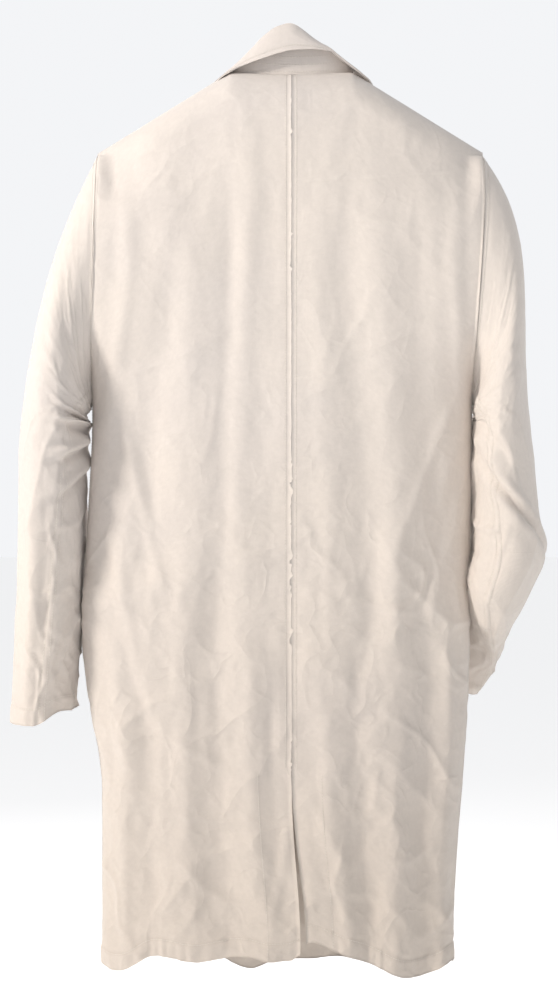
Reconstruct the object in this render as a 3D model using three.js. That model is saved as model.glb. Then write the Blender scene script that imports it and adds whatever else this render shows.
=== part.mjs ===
// A knee-length cotton lab coat, hanging from its shoulders.
// Millimetres, +Z up. The front faces -Y and the wearer's left is +X.
// The origin is in the middle of the neck opening, at the height of the back neck seam.
import * as THREE from 'three';

// ---- Driving dimensions ----------------------------------------------------------------

const coatLength = 1050;
const clothThickness = 1.5;
const liningThickness = 1.2;
const seamGap = 0.6;
const hairGap = 0.01;
const layerGap = 0.5;
const liningGap = 3.8;
const slitFacingGap = 2;

// The coat hangs a little turned, so the left half reads wider than the right one.
const halfWidth = {
  left: { shoulder: 232, chest: 238, hip: 250, hem: 226 },
  right: { shoulder: 230, chest: 217, hip: 214, hem: 194 },
};
const chestZ = -395;
const hipZ = -670;
const shoulderTopZ = -100;

const sideSeamY = -6;
const backDepth = { top: 50, hem: 60 };
const frontDepth = { top: 52, hem: 84 };
const sectionPower = 2.4;

const neckHalfWidth = 75;
const neckRise = 7;
const backNeckDepth = 30;
const shoulderSlope = 0.61;
const shoulderRound = 45;
const rowTaper = 1.6;

const armhole = { top: -92, bottom: -388, back: 46, front: 50 };

// The fronts open on a fold line down each side, and meet along the front edge.
const foldLine = { topX: 113, bottomX: 88, topZ: -60 };
const frontMeet = { topX: 4, hemX: 28 };
const lapel = { breakZ: -330, rollTopX: 74, gorgeZ: -97, tipX: 101, tipZ: -150, rollStart: 8 };
const lapelCut = { lift: 6, start: 5, curve: 1.15, settle: 40 };
const collarEnd = { topZ: -62, bottomZ: -92, pointX: 97, pointZ: -126, topX: 105 };

const collar = { peakZ: 61, rollSlope: 0.66, leafEdgeZ: 24, leafDrop: 28 };
const collarSpread = { roll: 74, rollBack: 33, edge: 98, edgeBack: 47 };
const collarReach = 82;
const collarFoldGap = 0.7;
const standLeastHeight = 4;
const leafLeastHeight = 8;
const leafEdgeLift = 1;
const underCollar = { from: 0.02, to: 0.98, depth: 0.94 };

const ventLength = 229;
const ventFoldX = 90;
const ventFacing = { width: 38, footLift: 2, topDrop: 27, foldClearance: 2.5 };
const ventSlitHalf = { top: 1.1, hem: 3.2 };

const yoke = { depth: 130, halfSpan: 190, inset: 16, sag: 14, leastHeight: 8 };
const frontFacingWidth = 58;

const chestPocket = { inner: 118, outer: 212, top: -232, bottom: -372, bulge: 12 };
const hipPocket = {
  innerGap: 9,
  outerShare: { left: 0.985, right: 0.93 },
  top: -690,
  bottom: -880,
  bulge: 15,
};

const pocketSwell = { across: 0.8, up: 0.7 };

const sideSlit = { top: -640, bottom: -775, gape: 1.6, facing: 0.34, facingInset: 0.02 };

const hangerLoop = { width: 54, drop: 18, tape: 5, thickness: 1.2, gap: 0.8, fold: 1.5 };
const label = { width: 40, height: 18, thickness: 0.8, standOff: 1.5, z: -44 };

const button = { count: 5, radius: 9.5, thickness: 3, holeRadius: 1.1, holeSpacing: 2.4 };
const buttonRow = { topZ: -350, pitch: 118, edgeInset: 24, shank: 2.2, shankRadius: 1.6 };
const threadGap = 0.3;
const buttonSides = { rim: 20, hole: 6, shank: 10 };

// Where each sleeve passes: below the underarm, the elbow, the forearm and the cuff.
// "out" runs sideways across the sleeve, "deep" is its front-to-back half size.
const sleeve = {
  left: {
    upper: { centre: [284, -6, -412], out: 39, deep: 84 },
    elbow: { centre: [286, -8, -440], out: 39, deep: 80 },
    forearm: { centre: [290, -14, -600], out: 39, deep: 68 },
    cuff: { centre: [301, -24, -772], out: 38, deep: 57 },
    bend: 0,
    foldsTowards: [0, -1, 0],
  },
  right: {
    upper: { centre: [-254, -8, -412], out: 33, deep: 84 },
    elbow: { centre: [-264, -14, -520], out: 35, deep: 76 },
    forearm: { centre: [-222, -92, -636], out: 27, deep: 66 },
    cuff: { centre: [-186, -124, -712], out: 24, deep: 58 },
    bend: 40,
    cuffLies: [-0.9, 0.22, -0.42],
    foldsTowards: [0.73, -0.683, 0],
  },
};
const backSeamAngle = 120;
const frontSeamAngle = 232;
const sleeveSeamGapAngle = 0.9;
const sleeveCap = { out: 0.3, drop: 0.16, rise: 0.42 };
const cuffHem = 20;
const cuffHemInset = 1.5;
const cuffHemSetback = 0.01;

// ---- Materials -------------------------------------------------------------------------

function cloth(color, roughness = 0.92) {
  return new THREE.MeshStandardMaterial({ color, roughness, metalness: 0 });
}

const colours = {
  shell: '#dcd2ca',
  lining: '#d8cbbf',
  facing: '#cfc3b7',
  tape: '#e6dfd6',
  button: '#e9e4dc',
  thread: '#efe9df',
};

// ---- Small helpers ---------------------------------------------------------------------

const { clamp, lerp, degToRad } = THREE.MathUtils;

const coat = new THREE.Group();
coat.name = 'lab_coat';

const hemZ = -coatLength;
const ventTopZ = hemZ + ventLength;
const sides = [
  { name: 'left', sign: 1 },
  { name: 'right', sign: -1 },
];

function vec(x, y, z) {
  return new THREE.Vector3(x, y, z);
}

function smooth(t) {
  const c = clamp(t, 0, 1);
  return c * c * (3 - 2 * c);
}

function addMesh(name, geometry, material) {
  const mesh = new THREE.Mesh(geometry, material);
  mesh.name = name;
  coat.add(mesh);
  return mesh;
}

// Turns the triangles over when the body is inside out.
function faceOutward(geometry) {
  const position = geometry.attributes.position;
  const index = geometry.index.array;
  const a = vec(0, 0, 0);
  const b = vec(0, 0, 0);
  const c = vec(0, 0, 0);
  let volume = 0;
  for (let i = 0; i < index.length; i += 3) {
    a.fromBufferAttribute(position, index[i]);
    b.fromBufferAttribute(position, index[i + 1]);
    c.fromBufferAttribute(position, index[i + 2]);
    volume += a.dot(b.cross(c));
  }
  if (volume < 0) {
    for (let i = 0; i < index.length; i += 3) {
      const swap = index[i];
      index[i] = index[i + 1];
      index[i + 1] = swap;
    }
  }
  geometry.computeVertexNormals();
  return geometry;
}

// The unit normal of a surface at(u, v), by short steps that stay inside 0..1.
function normalAt(at, u, v) {
  const step = 0.002;
  const u0 = Math.max(u - step, 0);
  const u1 = Math.min(u + step, 1);
  const v0 = Math.max(v - step, 0);
  const v1 = Math.min(v + step, 1);
  const along = at(u1, v).sub(at(u0, v));
  const up = at(u, v1).sub(at(u, v0));
  return along.cross(up).normalize();
}

// A sheet of cloth: the surface at(u, v), thickened between two distances to its outside.
// near and far are numbers or functions of (u, v).
function sheet({ name, material, across, down, at, outward, near, far }) {
  const geometry = new THREE.BoxGeometry(1, 1, 1, across, down, 1);
  const position = geometry.attributes.position;
  const middle = normalAt(at, 0.5, 0.5);
  const sign = middle.dot(outward) < 0 ? -1 : 1;
  const distance = (value, u, v) => (typeof value === 'function' ? value(u, v) : value);
  for (let i = 0; i < position.count; i += 1) {
    const u = clamp(position.getX(i) + 0.5, 0, 1);
    const v = clamp(position.getY(i) + 0.5, 0, 1);
    const level = position.getZ(i) > 0 ? far : near;
    const point = at(u, v).addScaledVector(normalAt(at, u, v), sign * distance(level, u, v));
    position.setXYZ(i, point.x, point.y, point.z);
  }
  return addMesh(name, faceOutward(geometry), material);
}

// ---- The body of the coat --------------------------------------------------------------

function bodyHalfWidth(side, z) {
  const w = halfWidth[side.name];
  if (z > chestZ) {
    return lerp(w.chest, w.shoulder, smooth((z - chestZ) / (shoulderTopZ - chestZ)));
  }
  if (z > hipZ) {
    return lerp(w.hip, w.chest, smooth((z - hipZ) / (chestZ - hipZ)));
  }
  return lerp(w.hem, w.hip, smooth((z - hemZ) / (hipZ - hemZ)));
}

// The height of the shoulder seam, or of the neck seam inside the neck, at a distance from
// the centre.
function shoulderZ(ax) {
  const share = Math.abs(ax) / neckHalfWidth;
  if (share < 1) {
    return neckRise * share * share;
  }
  return neckRise - shoulderSlope * (Math.abs(ax) - neckHalfWidth);
}

function armholeDepth(face, z) {
  const middle = (armhole.top + armhole.bottom) / 2;
  const radius = (armhole.top - armhole.bottom) / 2;
  const share = (z - middle) / radius;
  const half = face > 0 ? armhole.back : armhole.front;
  return half * Math.sqrt(Math.max(1 - share * share, 0));
}

function centreDepth(face, z) {
  const depth = face > 0 ? backDepth : frontDepth;
  return lerp(depth.top, depth.hem, clamp(z / hemZ, 0, 1));
}

// A point of the coat's inside face. face is +1 at the back and -1 at the front.
function bodyPoint(side, face, ax, z) {
  const share = Math.min(Math.abs(ax) / bodyHalfWidth(side, z), 1);
  const round = (1 - share ** sectionPower) ** (1 / sectionPower);
  const below = clamp((shoulderZ(ax) - z) / shoulderRound, 0, 1);
  const rise = Math.sqrt(1 - (1 - below) ** 2);
  const neckShare = Math.min(Math.abs(ax) / neckHalfWidth, 1);
  const atNeck = face > 0 ? (backNeckDepth / backDepth.top) * Math.sqrt(1 - neckShare ** 2) : 0;
  const arm = armholeDepth(face, z);
  const depth = arm + (centreDepth(face, z) - arm) * round * lerp(atNeck, 1, rise);
  return vec(side.sign * ax, sideSeamY + face * depth, z);
}

// Even steps around the section from a distance ax to the side edge.
function aroundTo(side, z, axInner, u, edgeAngle) {
  const w = bodyHalfWidth(side, z);
  const start = Math.asin(Math.min(axInner / w, 1) ** (sectionPower / 2));
  const end = Math.PI / 2 - edgeAngle;
  return w * Math.sin(lerp(start, end, u)) ** (2 / sectionPower);
}

// The angle that leaves half of a gap at the side seam.
function gapAngle(gap) {
  return (gap / 2 / backDepth.hem) ** (sectionPower / 2);
}

function sideSeamGap(z) {
  const middle = (sideSlit.top + sideSlit.bottom) / 2;
  const radius = (sideSlit.top - sideSlit.bottom) / 2;
  const share = clamp(Math.abs(z - middle) / radius, 0, 1);
  return seamGap + sideSlit.gape * (1 - share * share);
}

// The shoulder seam's share of the rounding, a gap away from the ridge.
function ridgeZ(ax) {
  const inNeck = Math.abs(ax) < neckHalfWidth;
  const rise = inNeck ? 0 : seamGap / backDepth.top;
  return shoulderZ(ax) - shoulderRound * (1 - Math.sqrt(1 - rise * rise)) - (inNeck ? 0 : hairGap);
}

function foldX(z) {
  return lerp(foldLine.topX, foldLine.bottomX, (foldLine.topZ - z) / (foldLine.topZ - hemZ));
}

function meetX(z) {
  return lerp(frontMeet.topX, frontMeet.hemX, clamp(z / hemZ, 0, 1));
}

function ventFold(z) {
  return ventFoldX * clamp((ventTopZ - z) / ventLength, 0, 1);
}

// Rows from the hem to a break level, then closer and closer rows up to the top edge.
function levelAt(v, lowRows, rows, breakZ, topZ) {
  const split = lowRows / rows;
  if (v <= split) {
    return lerp(hemZ, breakZ, v / split);
  }
  const rest = (v - split) / (1 - split);
  return topZ - (topZ - breakZ) * (1 - rest) ** rowTaper;
}

function backPanel(side) {
  const rows = 19;
  const lowRows = 4;
  sheet({
    name: `back_${side.name}`,
    material: cloth(colours.shell),
    across: 9,
    down: rows,
    outward: vec(0, 1, 0),
    near: 0,
    far: clothThickness,
    at: (u, v) => {
      const edge = halfWidth[side.name].shoulder;
      const shoulder = edge * Math.sin(u * Math.PI / 2) ** (2 / sectionPower);
      const z = levelAt(v, lowRows, rows, ventTopZ, ridgeZ(shoulder));
      const inner = seamGap / 2 + ventFold(z);
      const ax = aroundTo(side, z, inner, u, z > armhole.bottom ? 0 : gapAngle(sideSeamGap(z)));
      return bodyPoint(side, 1, ax, z);
    },
  });
}

function frontSidePanel(side) {
  const rows = 18;
  const lowRows = 4;
  const start = foldX(shoulderZ(foldLine.topX)) + seamGap / 2;
  sheet({
    name: `front_side_${side.name}`,
    material: cloth(colours.shell),
    across: 7,
    down: rows,
    outward: vec(0, -1, 0),
    near: 0,
    far: clothThickness,
    at: (u, v) => {
      const shoulder = aroundTo(side, shoulderTopZ, start, u, 0);
      const z = levelAt(v, lowRows, rows, ventTopZ, ridgeZ(shoulder));
      const inner = foldX(z) + seamGap / 2;
      const ax = aroundTo(side, z, inner, u, z > armhole.bottom ? 0 : gapAngle(sideSeamGap(z)));
      return bodyPoint(side, -1, ax, z);
    },
  });
}

// The top of the front beside the neck, above the fold line.
function frontNeckPiece(side) {
  const bottom = foldLine.topZ + seamGap;
  sheet({
    name: `front_neck_${side.name}`,
    material: cloth(colours.shell),
    across: 3,
    down: 6,
    outward: vec(0, -1, 0),
    near: 0,
    far: clothThickness,
    at: (u, v) => {
      const ax = lerp(neckHalfWidth + 10 * hairGap, foldX(bottom) - seamGap, u);
      const top = ridgeZ(ax);
      return bodyPoint(side, -1, ax, top - (top - bottom) * (1 - v) ** rowTaper);
    },
  });
}

function rollX(side, z) {
  const foot = side.sign * meetX(lapel.breakZ) + lapel.rollStart;
  return lerp(foot, lapel.rollTopX, clamp((z - lapel.breakZ) / (foldLine.topZ - lapel.breakZ), 0, 1));
}

// The distance of the front edge from the centre, on the side's own measure.
function frontEdge(side, z) {
  if (z > lapel.breakZ) {
    return rollX(side, z);
  }
  const settle = smooth((lapel.breakZ - z) / lapelCut.settle);
  return lerp(rollX(side, z), side.sign * meetX(z) + seamGap, settle);
}

function frontFlap(side) {
  const rows = 16;
  const lowRows = 10;
  sheet({
    name: `front_flap_${side.name}`,
    material: cloth(colours.shell),
    across: 5,
    down: rows,
    outward: vec(0, -1, 0),
    near: 0,
    far: clothThickness,
    at: (u, v) => {
      const split = lowRows / rows;
      const z = v <= split
        ? lerp(hemZ, lapel.breakZ, v / split)
        : lerp(lapel.breakZ, foldLine.topZ, (v - split) / (1 - split));
      return bodyPoint(side, -1, lerp(frontEdge(side, z), foldX(z) - seamGap / 2, u), z);
    },
  });
}

function frontFacing(side) {
  const lift = 3;
  const inset = 1.5;
  sheet({
    name: `front_facing_${side.name}`,
    material: cloth(colours.facing),
    across: 3,
    down: 16,
    outward: vec(0, -1, 0),
    near: -layerGap - liningThickness,
    far: -layerGap,
    at: (u, v) => {
      const z = lerp(hemZ + lift, foldLine.topZ - 12, v);
      const start = frontEdge(side, z) + inset;
      const end = Math.min(start + frontFacingWidth, foldX(z) - inset);
      return bodyPoint(side, -1, lerp(start, end, u), z);
    },
  });
}

function lapelPiece(side) {
  const foot = { x: rollX(side, lapel.breakZ), z: lapel.breakZ };
  sheet({
    name: `lapel_${side.name}`,
    material: cloth(colours.shell),
    across: 4,
    down: 8,
    outward: vec(0, -1, 0),
    near: clothThickness + layerGap,
    far: clothThickness + layerGap + clothThickness,
    at: (u, v) => {
      const z = lerp(foot.z + lapelCut.lift, lapel.gorgeZ, v);
      const inner = { x: rollX(side, z), z };
      const reach = Math.sin(Math.min(v * lapelCut.curve, 1) * Math.PI / 2);
      const outer = {
        x: lerp(foot.x + lapelCut.start, lapel.tipX, reach),
        z: lerp(foot.z + lapelCut.lift, lapel.tipZ, v),
      };
      return bodyPoint(side, -1, lerp(inner.x, outer.x, u), lerp(inner.z, outer.z, u));
    },
  });
}

function collarEndPiece(side) {
  sheet({
    name: `collar_end_${side.name}`,
    material: cloth(colours.shell),
    across: 3,
    down: 4,
    outward: vec(0, -1, 0),
    near: clothThickness + 2 * layerGap,
    far: clothThickness + 2 * layerGap + clothThickness,
    at: (u, v) => {
      const innerZ = lerp(collarEnd.bottomZ, collarEnd.topZ, v);
      const inner = rollX(side, innerZ);
      const outerX = lerp(collarEnd.pointX, collarEnd.topX, v);
      const outerZ = lerp(collarEnd.pointZ, collarEnd.topZ, v);
      return bodyPoint(side, -1, lerp(inner, outerX, u), lerp(innerZ, outerZ, u));
    },
  });
}

// ---- Collar, neck and inside pieces ----------------------------------------------------

function rollZ(x) {
  return collar.peakZ - collar.rollSlope * Math.abs(x);
}

function collarAngle(u, reach) {
  return degToRad(lerp(-reach, reach, u));
}

function collarStand() {
  sheet({
    name: 'collar_stand',
    material: cloth(colours.shell),
    across: 16,
    down: 2,
    outward: vec(0, 1, 0),
    near: -clothThickness,
    far: 0,
    at: (u, v) => {
      const angle = collarAngle(u, collarReach);
      const low = vec(neckHalfWidth * Math.sin(angle), backNeckDepth * Math.cos(angle), 0);
      low.z = shoulderZ(low.x) + clothThickness + layerGap;
      low.y += sideSeamY;
      const x = collarSpread.roll * Math.sin(angle);
      const high = vec(x, collarSpread.rollBack * Math.cos(angle) + sideSeamY, rollZ(x) - layerGap);
      high.z = Math.max(high.z, low.z + standLeastHeight);
      return low.lerp(high, v);
    },
  });
}

function leafPoint(u, v) {
  const angle = collarAngle(u, 90);
  const rollHalf = collarSpread.roll + collarFoldGap;
  const x = rollHalf * Math.sin(angle);
  const fold = vec(x, (collarSpread.rollBack + collarFoldGap) * Math.cos(angle) + sideSeamY, rollZ(x));
  fold.z = Math.max(fold.z, shoulderZ(rollHalf) + leafLeastHeight);
  const edgeX = collarSpread.edge * Math.sin(angle);
  const edge = vec(edgeX, collarSpread.edgeBack * Math.cos(angle) + sideSeamY, 0);
  edge.z = collar.leafEdgeZ - collar.leafDrop * Math.sin(angle) ** 2 + leafEdgeLift;
  return fold.lerp(edge, v);
}

function collarLeaf() {
  sheet({
    name: 'collar_leaf',
    material: cloth(colours.shell),
    across: 16,
    down: 3,
    outward: vec(0, 1, 0),
    near: liningThickness + 2 * layerGap,
    far: liningThickness + 2 * layerGap + clothThickness,
    at: leafPoint,
  });
  sheet({
    name: 'under_collar',
    material: cloth(colours.facing),
    across: 16,
    down: 3,
    outward: vec(0, 1, 0),
    near: 0,
    far: liningThickness,
    at: (u, v) => leafPoint(lerp(underCollar.from, underCollar.to, u), underCollar.depth * v),
  });
}

function yokeLining() {
  sheet({
    name: 'yoke_lining',
    material: cloth(colours.lining),
    across: 16,
    down: 6,
    outward: vec(0, 1, 0),
    near: -liningGap - liningThickness,
    far: -liningGap,
    at: (u, v) => {
      const x = lerp(-yoke.halfSpan, yoke.halfSpan, u);
      const side = x > 0 ? sides[0] : sides[1];
      const top = ridgeZ(x) - yoke.inset;
      const sag = 1 - Math.cos(x / yoke.halfSpan * Math.PI / 2);
      const bottom = -yoke.depth + yoke.sag * sag;
      return bodyPoint(side, 1, Math.abs(x), lerp(bottom, Math.max(top, bottom + yoke.leastHeight), v));
    },
  });
}

// A flat tape loop inside the back neck, sewn at its two ends.
function hangerLoopPiece() {
  const half = hangerLoop.width / 2;
  const outline = new THREE.Shape();
  outline.moveTo(-half, 0);
  outline.lineTo(-half, -hangerLoop.drop);
  outline.lineTo(half, -hangerLoop.drop);
  outline.lineTo(half, 0);
  outline.closePath();
  const hole = new THREE.Path();
  const innerHalf = half - hangerLoop.tape;
  hole.moveTo(-innerHalf, -hangerLoop.fold);
  hole.lineTo(innerHalf, -hangerLoop.fold);
  hole.lineTo(innerHalf, hangerLoop.tape - hangerLoop.drop);
  hole.lineTo(-innerHalf, hangerLoop.tape - hangerLoop.drop);
  hole.closePath();
  outline.holes.push(hole);
  const options = { depth: hangerLoop.thickness, bevelEnabled: false };
  const loop = addMesh('hanger_loop', new THREE.ExtrudeGeometry(outline, options), cloth(colours.tape));
  loop.rotation.x = Math.PI / 2;
  loop.position.set(0, sideSeamY + backNeckDepth - hangerLoop.gap, -hangerLoop.gap);
}

function neckLabel() {
  const liningFace = backDepth.top + sideSeamY - liningGap - liningThickness;
  const geometry = new THREE.BoxGeometry(label.width, label.thickness, label.height);
  const mesh = addMesh('neck_label', geometry, cloth(colours.tape));
  mesh.position.set(0, liningFace - label.standOff, label.z);
}

// ---- Back vent -------------------------------------------------------------------------

function ventEdge(z) {
  return lerp(ventSlitHalf.top, ventSlitHalf.hem, (ventTopZ - z) / ventLength);
}

function ventFlap(side) {
  const start = 9;
  sheet({
    name: `vent_flap_${side.name}`,
    material: cloth(colours.shell),
    across: 4,
    down: 8,
    outward: vec(0, 1, 0),
    near: 0,
    far: clothThickness,
    at: (u, v) => {
      const z = lerp(hemZ, ventTopZ - start, v);
      return bodyPoint(side, 1, lerp(ventEdge(z), ventFold(z) - seamGap / 2, u), z);
    },
  });
  sheet({
    name: `vent_facing_${side.name}`,
    material: cloth(colours.facing),
    across: 2,
    down: 6,
    outward: vec(0, 1, 0),
    near: -layerGap - liningThickness,
    far: -layerGap,
    at: (u, v) => {
      const z = lerp(hemZ + ventFacing.footLift, ventTopZ - ventFacing.topDrop, v);
      const width = Math.min(ventFacing.width, ventFold(z) - ventFacing.foldClearance);
      return bodyPoint(side, 1, lerp(ventEdge(z), width, u), z);
    },
  });
}

// ---- Pockets and side slits ------------------------------------------------------------

// A patch sewn along its sides and foot, standing off in the middle of its open top.
function patchPocket(name, side, innerX, outerX, topZ, bottomZ, bulge) {
  const swell = (u, v) => Math.sin(Math.PI * u) ** pocketSwell.across * v ** pocketSwell.up;
  const standOff = (u, v) => clothThickness + layerGap + bulge * swell(u, v);
  sheet({
    name,
    material: cloth(colours.shell),
    across: 8,
    down: 6,
    outward: vec(0, -1, 0),
    near: standOff,
    far: (u, v) => standOff(u, v) + clothThickness,
    at: (u, v) => {
      const z = lerp(bottomZ, topZ, v);
      const w = bodyHalfWidth(side, z);
      const turn = (ax) => Math.asin(Math.min(ax / w, 1) ** (sectionPower / 2));
      const angle = lerp(turn(innerX(z)), turn(outerX(z)), u);
      return bodyPoint(side, -1, w * Math.sin(angle) ** (2 / sectionPower), z);
    },
  });
}

function pockets() {
  const [left] = sides;
  patchPocket('chest_pocket', left, () => chestPocket.inner, () => chestPocket.outer,
    chestPocket.top, chestPocket.bottom, chestPocket.bulge);
  for (const side of sides) {
    patchPocket(`hip_pocket_${side.name}`, side, (z) => foldX(z) + hipPocket.innerGap,
      (z) => bodyHalfWidth(side, z) * hipPocket.outerShare[side.name],
      hipPocket.top, hipPocket.bottom, hipPocket.bulge);
  }
}

function slitFacing(side) {
  sheet({
    name: `slit_facing_${side.name}`,
    material: cloth(colours.facing),
    across: 3,
    down: 4,
    outward: vec(side.sign, -1, 0),
    near: -slitFacingGap - liningThickness,
    far: -slitFacingGap,
    at: (u, v) => {
      const z = lerp(sideSlit.bottom, sideSlit.top, v);
      const w = bodyHalfWidth(side, z);
      const end = Math.PI / 2 - gapAngle(sideSeamGap(z)) - sideSlit.facingInset;
      const angle = lerp(end - sideSlit.facing, end, u);
      return bodyPoint(side, -1, w * Math.sin(angle) ** (2 / sectionPower), z);
    },
  });
}

// ---- Sleeves ---------------------------------------------------------------------------

// A point of the oval armhole edge; angle 0 is at the shoulder and 90 degrees at the back.
function armholePoint(side, angle) {
  const middle = (armhole.top + armhole.bottom) / 2;
  const radius = (armhole.top - armhole.bottom) / 2;
  const half = Math.sin(angle) > 0 ? armhole.back : armhole.front;
  const z = middle + radius * Math.cos(angle);
  const x = bodyHalfWidth(side, z) + clothThickness + seamGap;
  return vec(side.sign * x, sideSeamY + half * Math.sin(angle), z);
}

// A sleeve's cross-section: its centre, its sideways direction and its deep direction.
function section(station, sideways, deep) {
  return { centre: vec(...station.centre), out: station.out, deep: station.deep, sideways, back: deep };
}

function sectionPoint(ring, angle, inset = 0) {
  return ring.centre.clone()
    .addScaledVector(ring.sideways, (ring.out - inset) * Math.cos(angle))
    .addScaledVector(ring.back, (ring.deep - inset) * Math.sin(angle));
}

function upperSleevePoint(side, rings, cap, s, angle) {
  if (s > cap) {
    const from = sectionPoint(rings.upper, angle);
    return from.lerp(sectionPoint(rings.elbowTop, angle), (s - cap) / (1 - cap));
  }
  const start = armholePoint(side, angle);
  const end = sectionPoint(rings.upper, angle);
  const reach = start.distanceTo(end);
  const lead = start.clone().add(vec(side.sign * sleeveCap.out, 0, -sleeveCap.drop).multiplyScalar(reach));
  const tail = end.clone().add(vec(0, 0, sleeveCap.rise * reach));
  const t = s / cap;
  const curve = new THREE.CubicBezierCurve3(start, lead, tail, end);
  return curve.getPoint(t);
}

function lowerSleevePoint(rings, s, angle, inset = 0) {
  const half = 0.5;
  const pair = s < half ? [rings.elbowLow, rings.forearm] : [rings.forearm, rings.cuff];
  const t = s < half ? s / half : (s - half) / half;
  return sectionPoint(pair[0], angle, inset).lerp(sectionPoint(pair[1], angle, inset), t);
}

// The rings of one sleeve. The lower sleeve starts turned by the bend of the elbow, about
// the elbow's hinge on the side that it folds towards.
function sleeveRings(side) {
  const plan = sleeve[side.name];
  const outward = vec(side.sign, 0, 0);
  const back = vec(0, 1, 0);
  const upper = section(plan.upper, outward, back);
  const elbowTop = section(plan.elbow, outward, back);
  const elbowLow = section(plan.elbow, outward.clone(), back.clone());
  const forearm = section(plan.forearm, outward.clone(), back.clone());
  const cuff = section(plan.cuff, outward.clone(), back.clone());
  if (plan.bend > 0) {
    const hinge = elbowHinge(side);
    const turn = new THREE.Quaternion().setFromAxisAngle(hinge.axis, degToRad(plan.bend));
    elbowLow.centre.sub(hinge.point).applyQuaternion(turn).add(hinge.point);
    elbowLow.sideways.applyQuaternion(turn);
    elbowLow.back.applyQuaternion(turn);
    const run = cuff.centre.clone().sub(elbowLow.centre).normalize();
    const flat = vec(...plan.cuffLies);
    flat.addScaledVector(run, -flat.dot(run)).normalize();
    cuff.sideways = flat.clone().cross(run).normalize();
    cuff.back = flat;
    if (cuff.sideways.dot(elbowLow.sideways) < 0) {
      cuff.sideways.negate();
    }
    forearm.sideways = cuff.sideways.clone().add(elbowLow.sideways).normalize();
    forearm.back = cuff.back.clone().add(elbowLow.back);
    forearm.back.addScaledVector(forearm.sideways, -forearm.back.dot(forearm.sideways)).normalize();
  }
  elbowLow.centre.add(cuff.centre.clone().sub(elbowLow.centre).normalize());
  return { upper, elbowTop, elbowLow, forearm, cuff };
}

// The line that the lower sleeve folds about, on the edge of the elbow's section.
function elbowHinge(side) {
  const plan = sleeve[side.name];
  const centre = vec(...plan.elbow.centre);
  const towards = vec(...plan.foldsTowards).normalize();
  const reach = Math.hypot(plan.elbow.out * towards.x, plan.elbow.deep * towards.y);
  const axis = towards.clone().cross(vec(0, 0, 1)).normalize();
  return { point: centre.addScaledVector(towards, reach), axis };
}

function sleevePieces(side) {
  const rings = sleeveRings(side);
  const outward = vec(side.sign, 0, 0);
  const capRows = 8;
  const armRows = side.name === 'left' ? 1 : 3;
  const upperRows = capRows + armRows;
  const cap = capRows / upperRows;
  const backSeam = degToRad(backSeamAngle);
  const frontSeam = degToRad(frontSeamAngle);
  const gap = degToRad(sleeveSeamGapAngle);
  const spans = {
    top: { from: frontSeam - 2 * Math.PI + gap, to: backSeam - gap, across: 14, outward },
    under: { from: backSeam, to: frontSeam, across: 7, outward: outward.clone().negate() },
  };
  for (const [part, span] of Object.entries(spans)) {
    const angleAt = (u) => lerp(span.from, span.to, u);
    sheet({
      name: `sleeve_${part}_upper_${side.name}`,
      material: cloth(colours.shell),
      across: span.across,
      down: upperRows,
      outward: span.outward,
      near: 0,
      far: clothThickness,
      at: (u, v) => upperSleevePoint(side, rings, cap, v, angleAt(u)),
    });
    sheet({
      name: `sleeve_${part}_lower_${side.name}`,
      material: cloth(colours.shell),
      across: span.across,
      down: 8,
      outward: span.outward,
      near: 0,
      far: clothThickness,
      at: (u, v) => lowerSleevePoint(rings, v, angleAt(u)),
    });
  }
  cuffHemBand(side, rings);
}

// The turned-up hem inside the cuff: a closed band.
function cuffHemBand(side, rings) {
  const steps = 32;
  const length = rings.forearm.centre.distanceTo(rings.cuff.centre);
  const rise = cuffHem / length / 2;
  const loop = [[0, 0], [0, 1], [1, 1], [1, 0], [0, 0]];
  const bandRadius = 2;
  const profile = loop.map(([x, y]) => new THREE.Vector2(x + bandRadius, y));
  const geometry = new THREE.LatheGeometry(profile, steps);
  const position = geometry.attributes.position;
  for (let i = 0; i < position.count; i += 1) {
    const x = position.getX(i);
    const z = position.getZ(i);
    const outer = Math.hypot(x, z) > bandRadius + 0.5;
    const angle = Math.atan2(z, x);
    const s = 1 - cuffHemSetback - rise * position.getY(i);
    const inset = cuffHemInset + (outer ? 0 : liningThickness);
    const point = lowerSleevePoint(rings, s, angle, inset);
    position.setXYZ(i, point.x, point.y, point.z);
  }
  addMesh(`cuff_hem_${side.name}`, faceOutward(geometry), cloth(colours.facing));
}

// ---- Buttons ---------------------------------------------------------------------------

function circle(path, x, y, radius, steps) {
  for (let i = 0; i < steps; i += 1) {
    const angle = 2 * Math.PI * i / steps;
    const to = i === 0 ? 'moveTo' : 'lineTo';
    path[to](x + radius * Math.cos(angle), y + radius * Math.sin(angle));
  }
  path.closePath();
  return path;
}

function buttonShape() {
  const shape = circle(new THREE.Shape(), 0, 0, button.radius, buttonSides.rim);
  for (const x of [-1, 1]) {
    for (const y of [-1, 1]) {
      shape.holes.push(circle(new THREE.Path(), x * button.holeSpacing, y * button.holeSpacing,
        button.holeRadius, buttonSides.hole));
    }
  }
  return shape;
}

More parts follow.
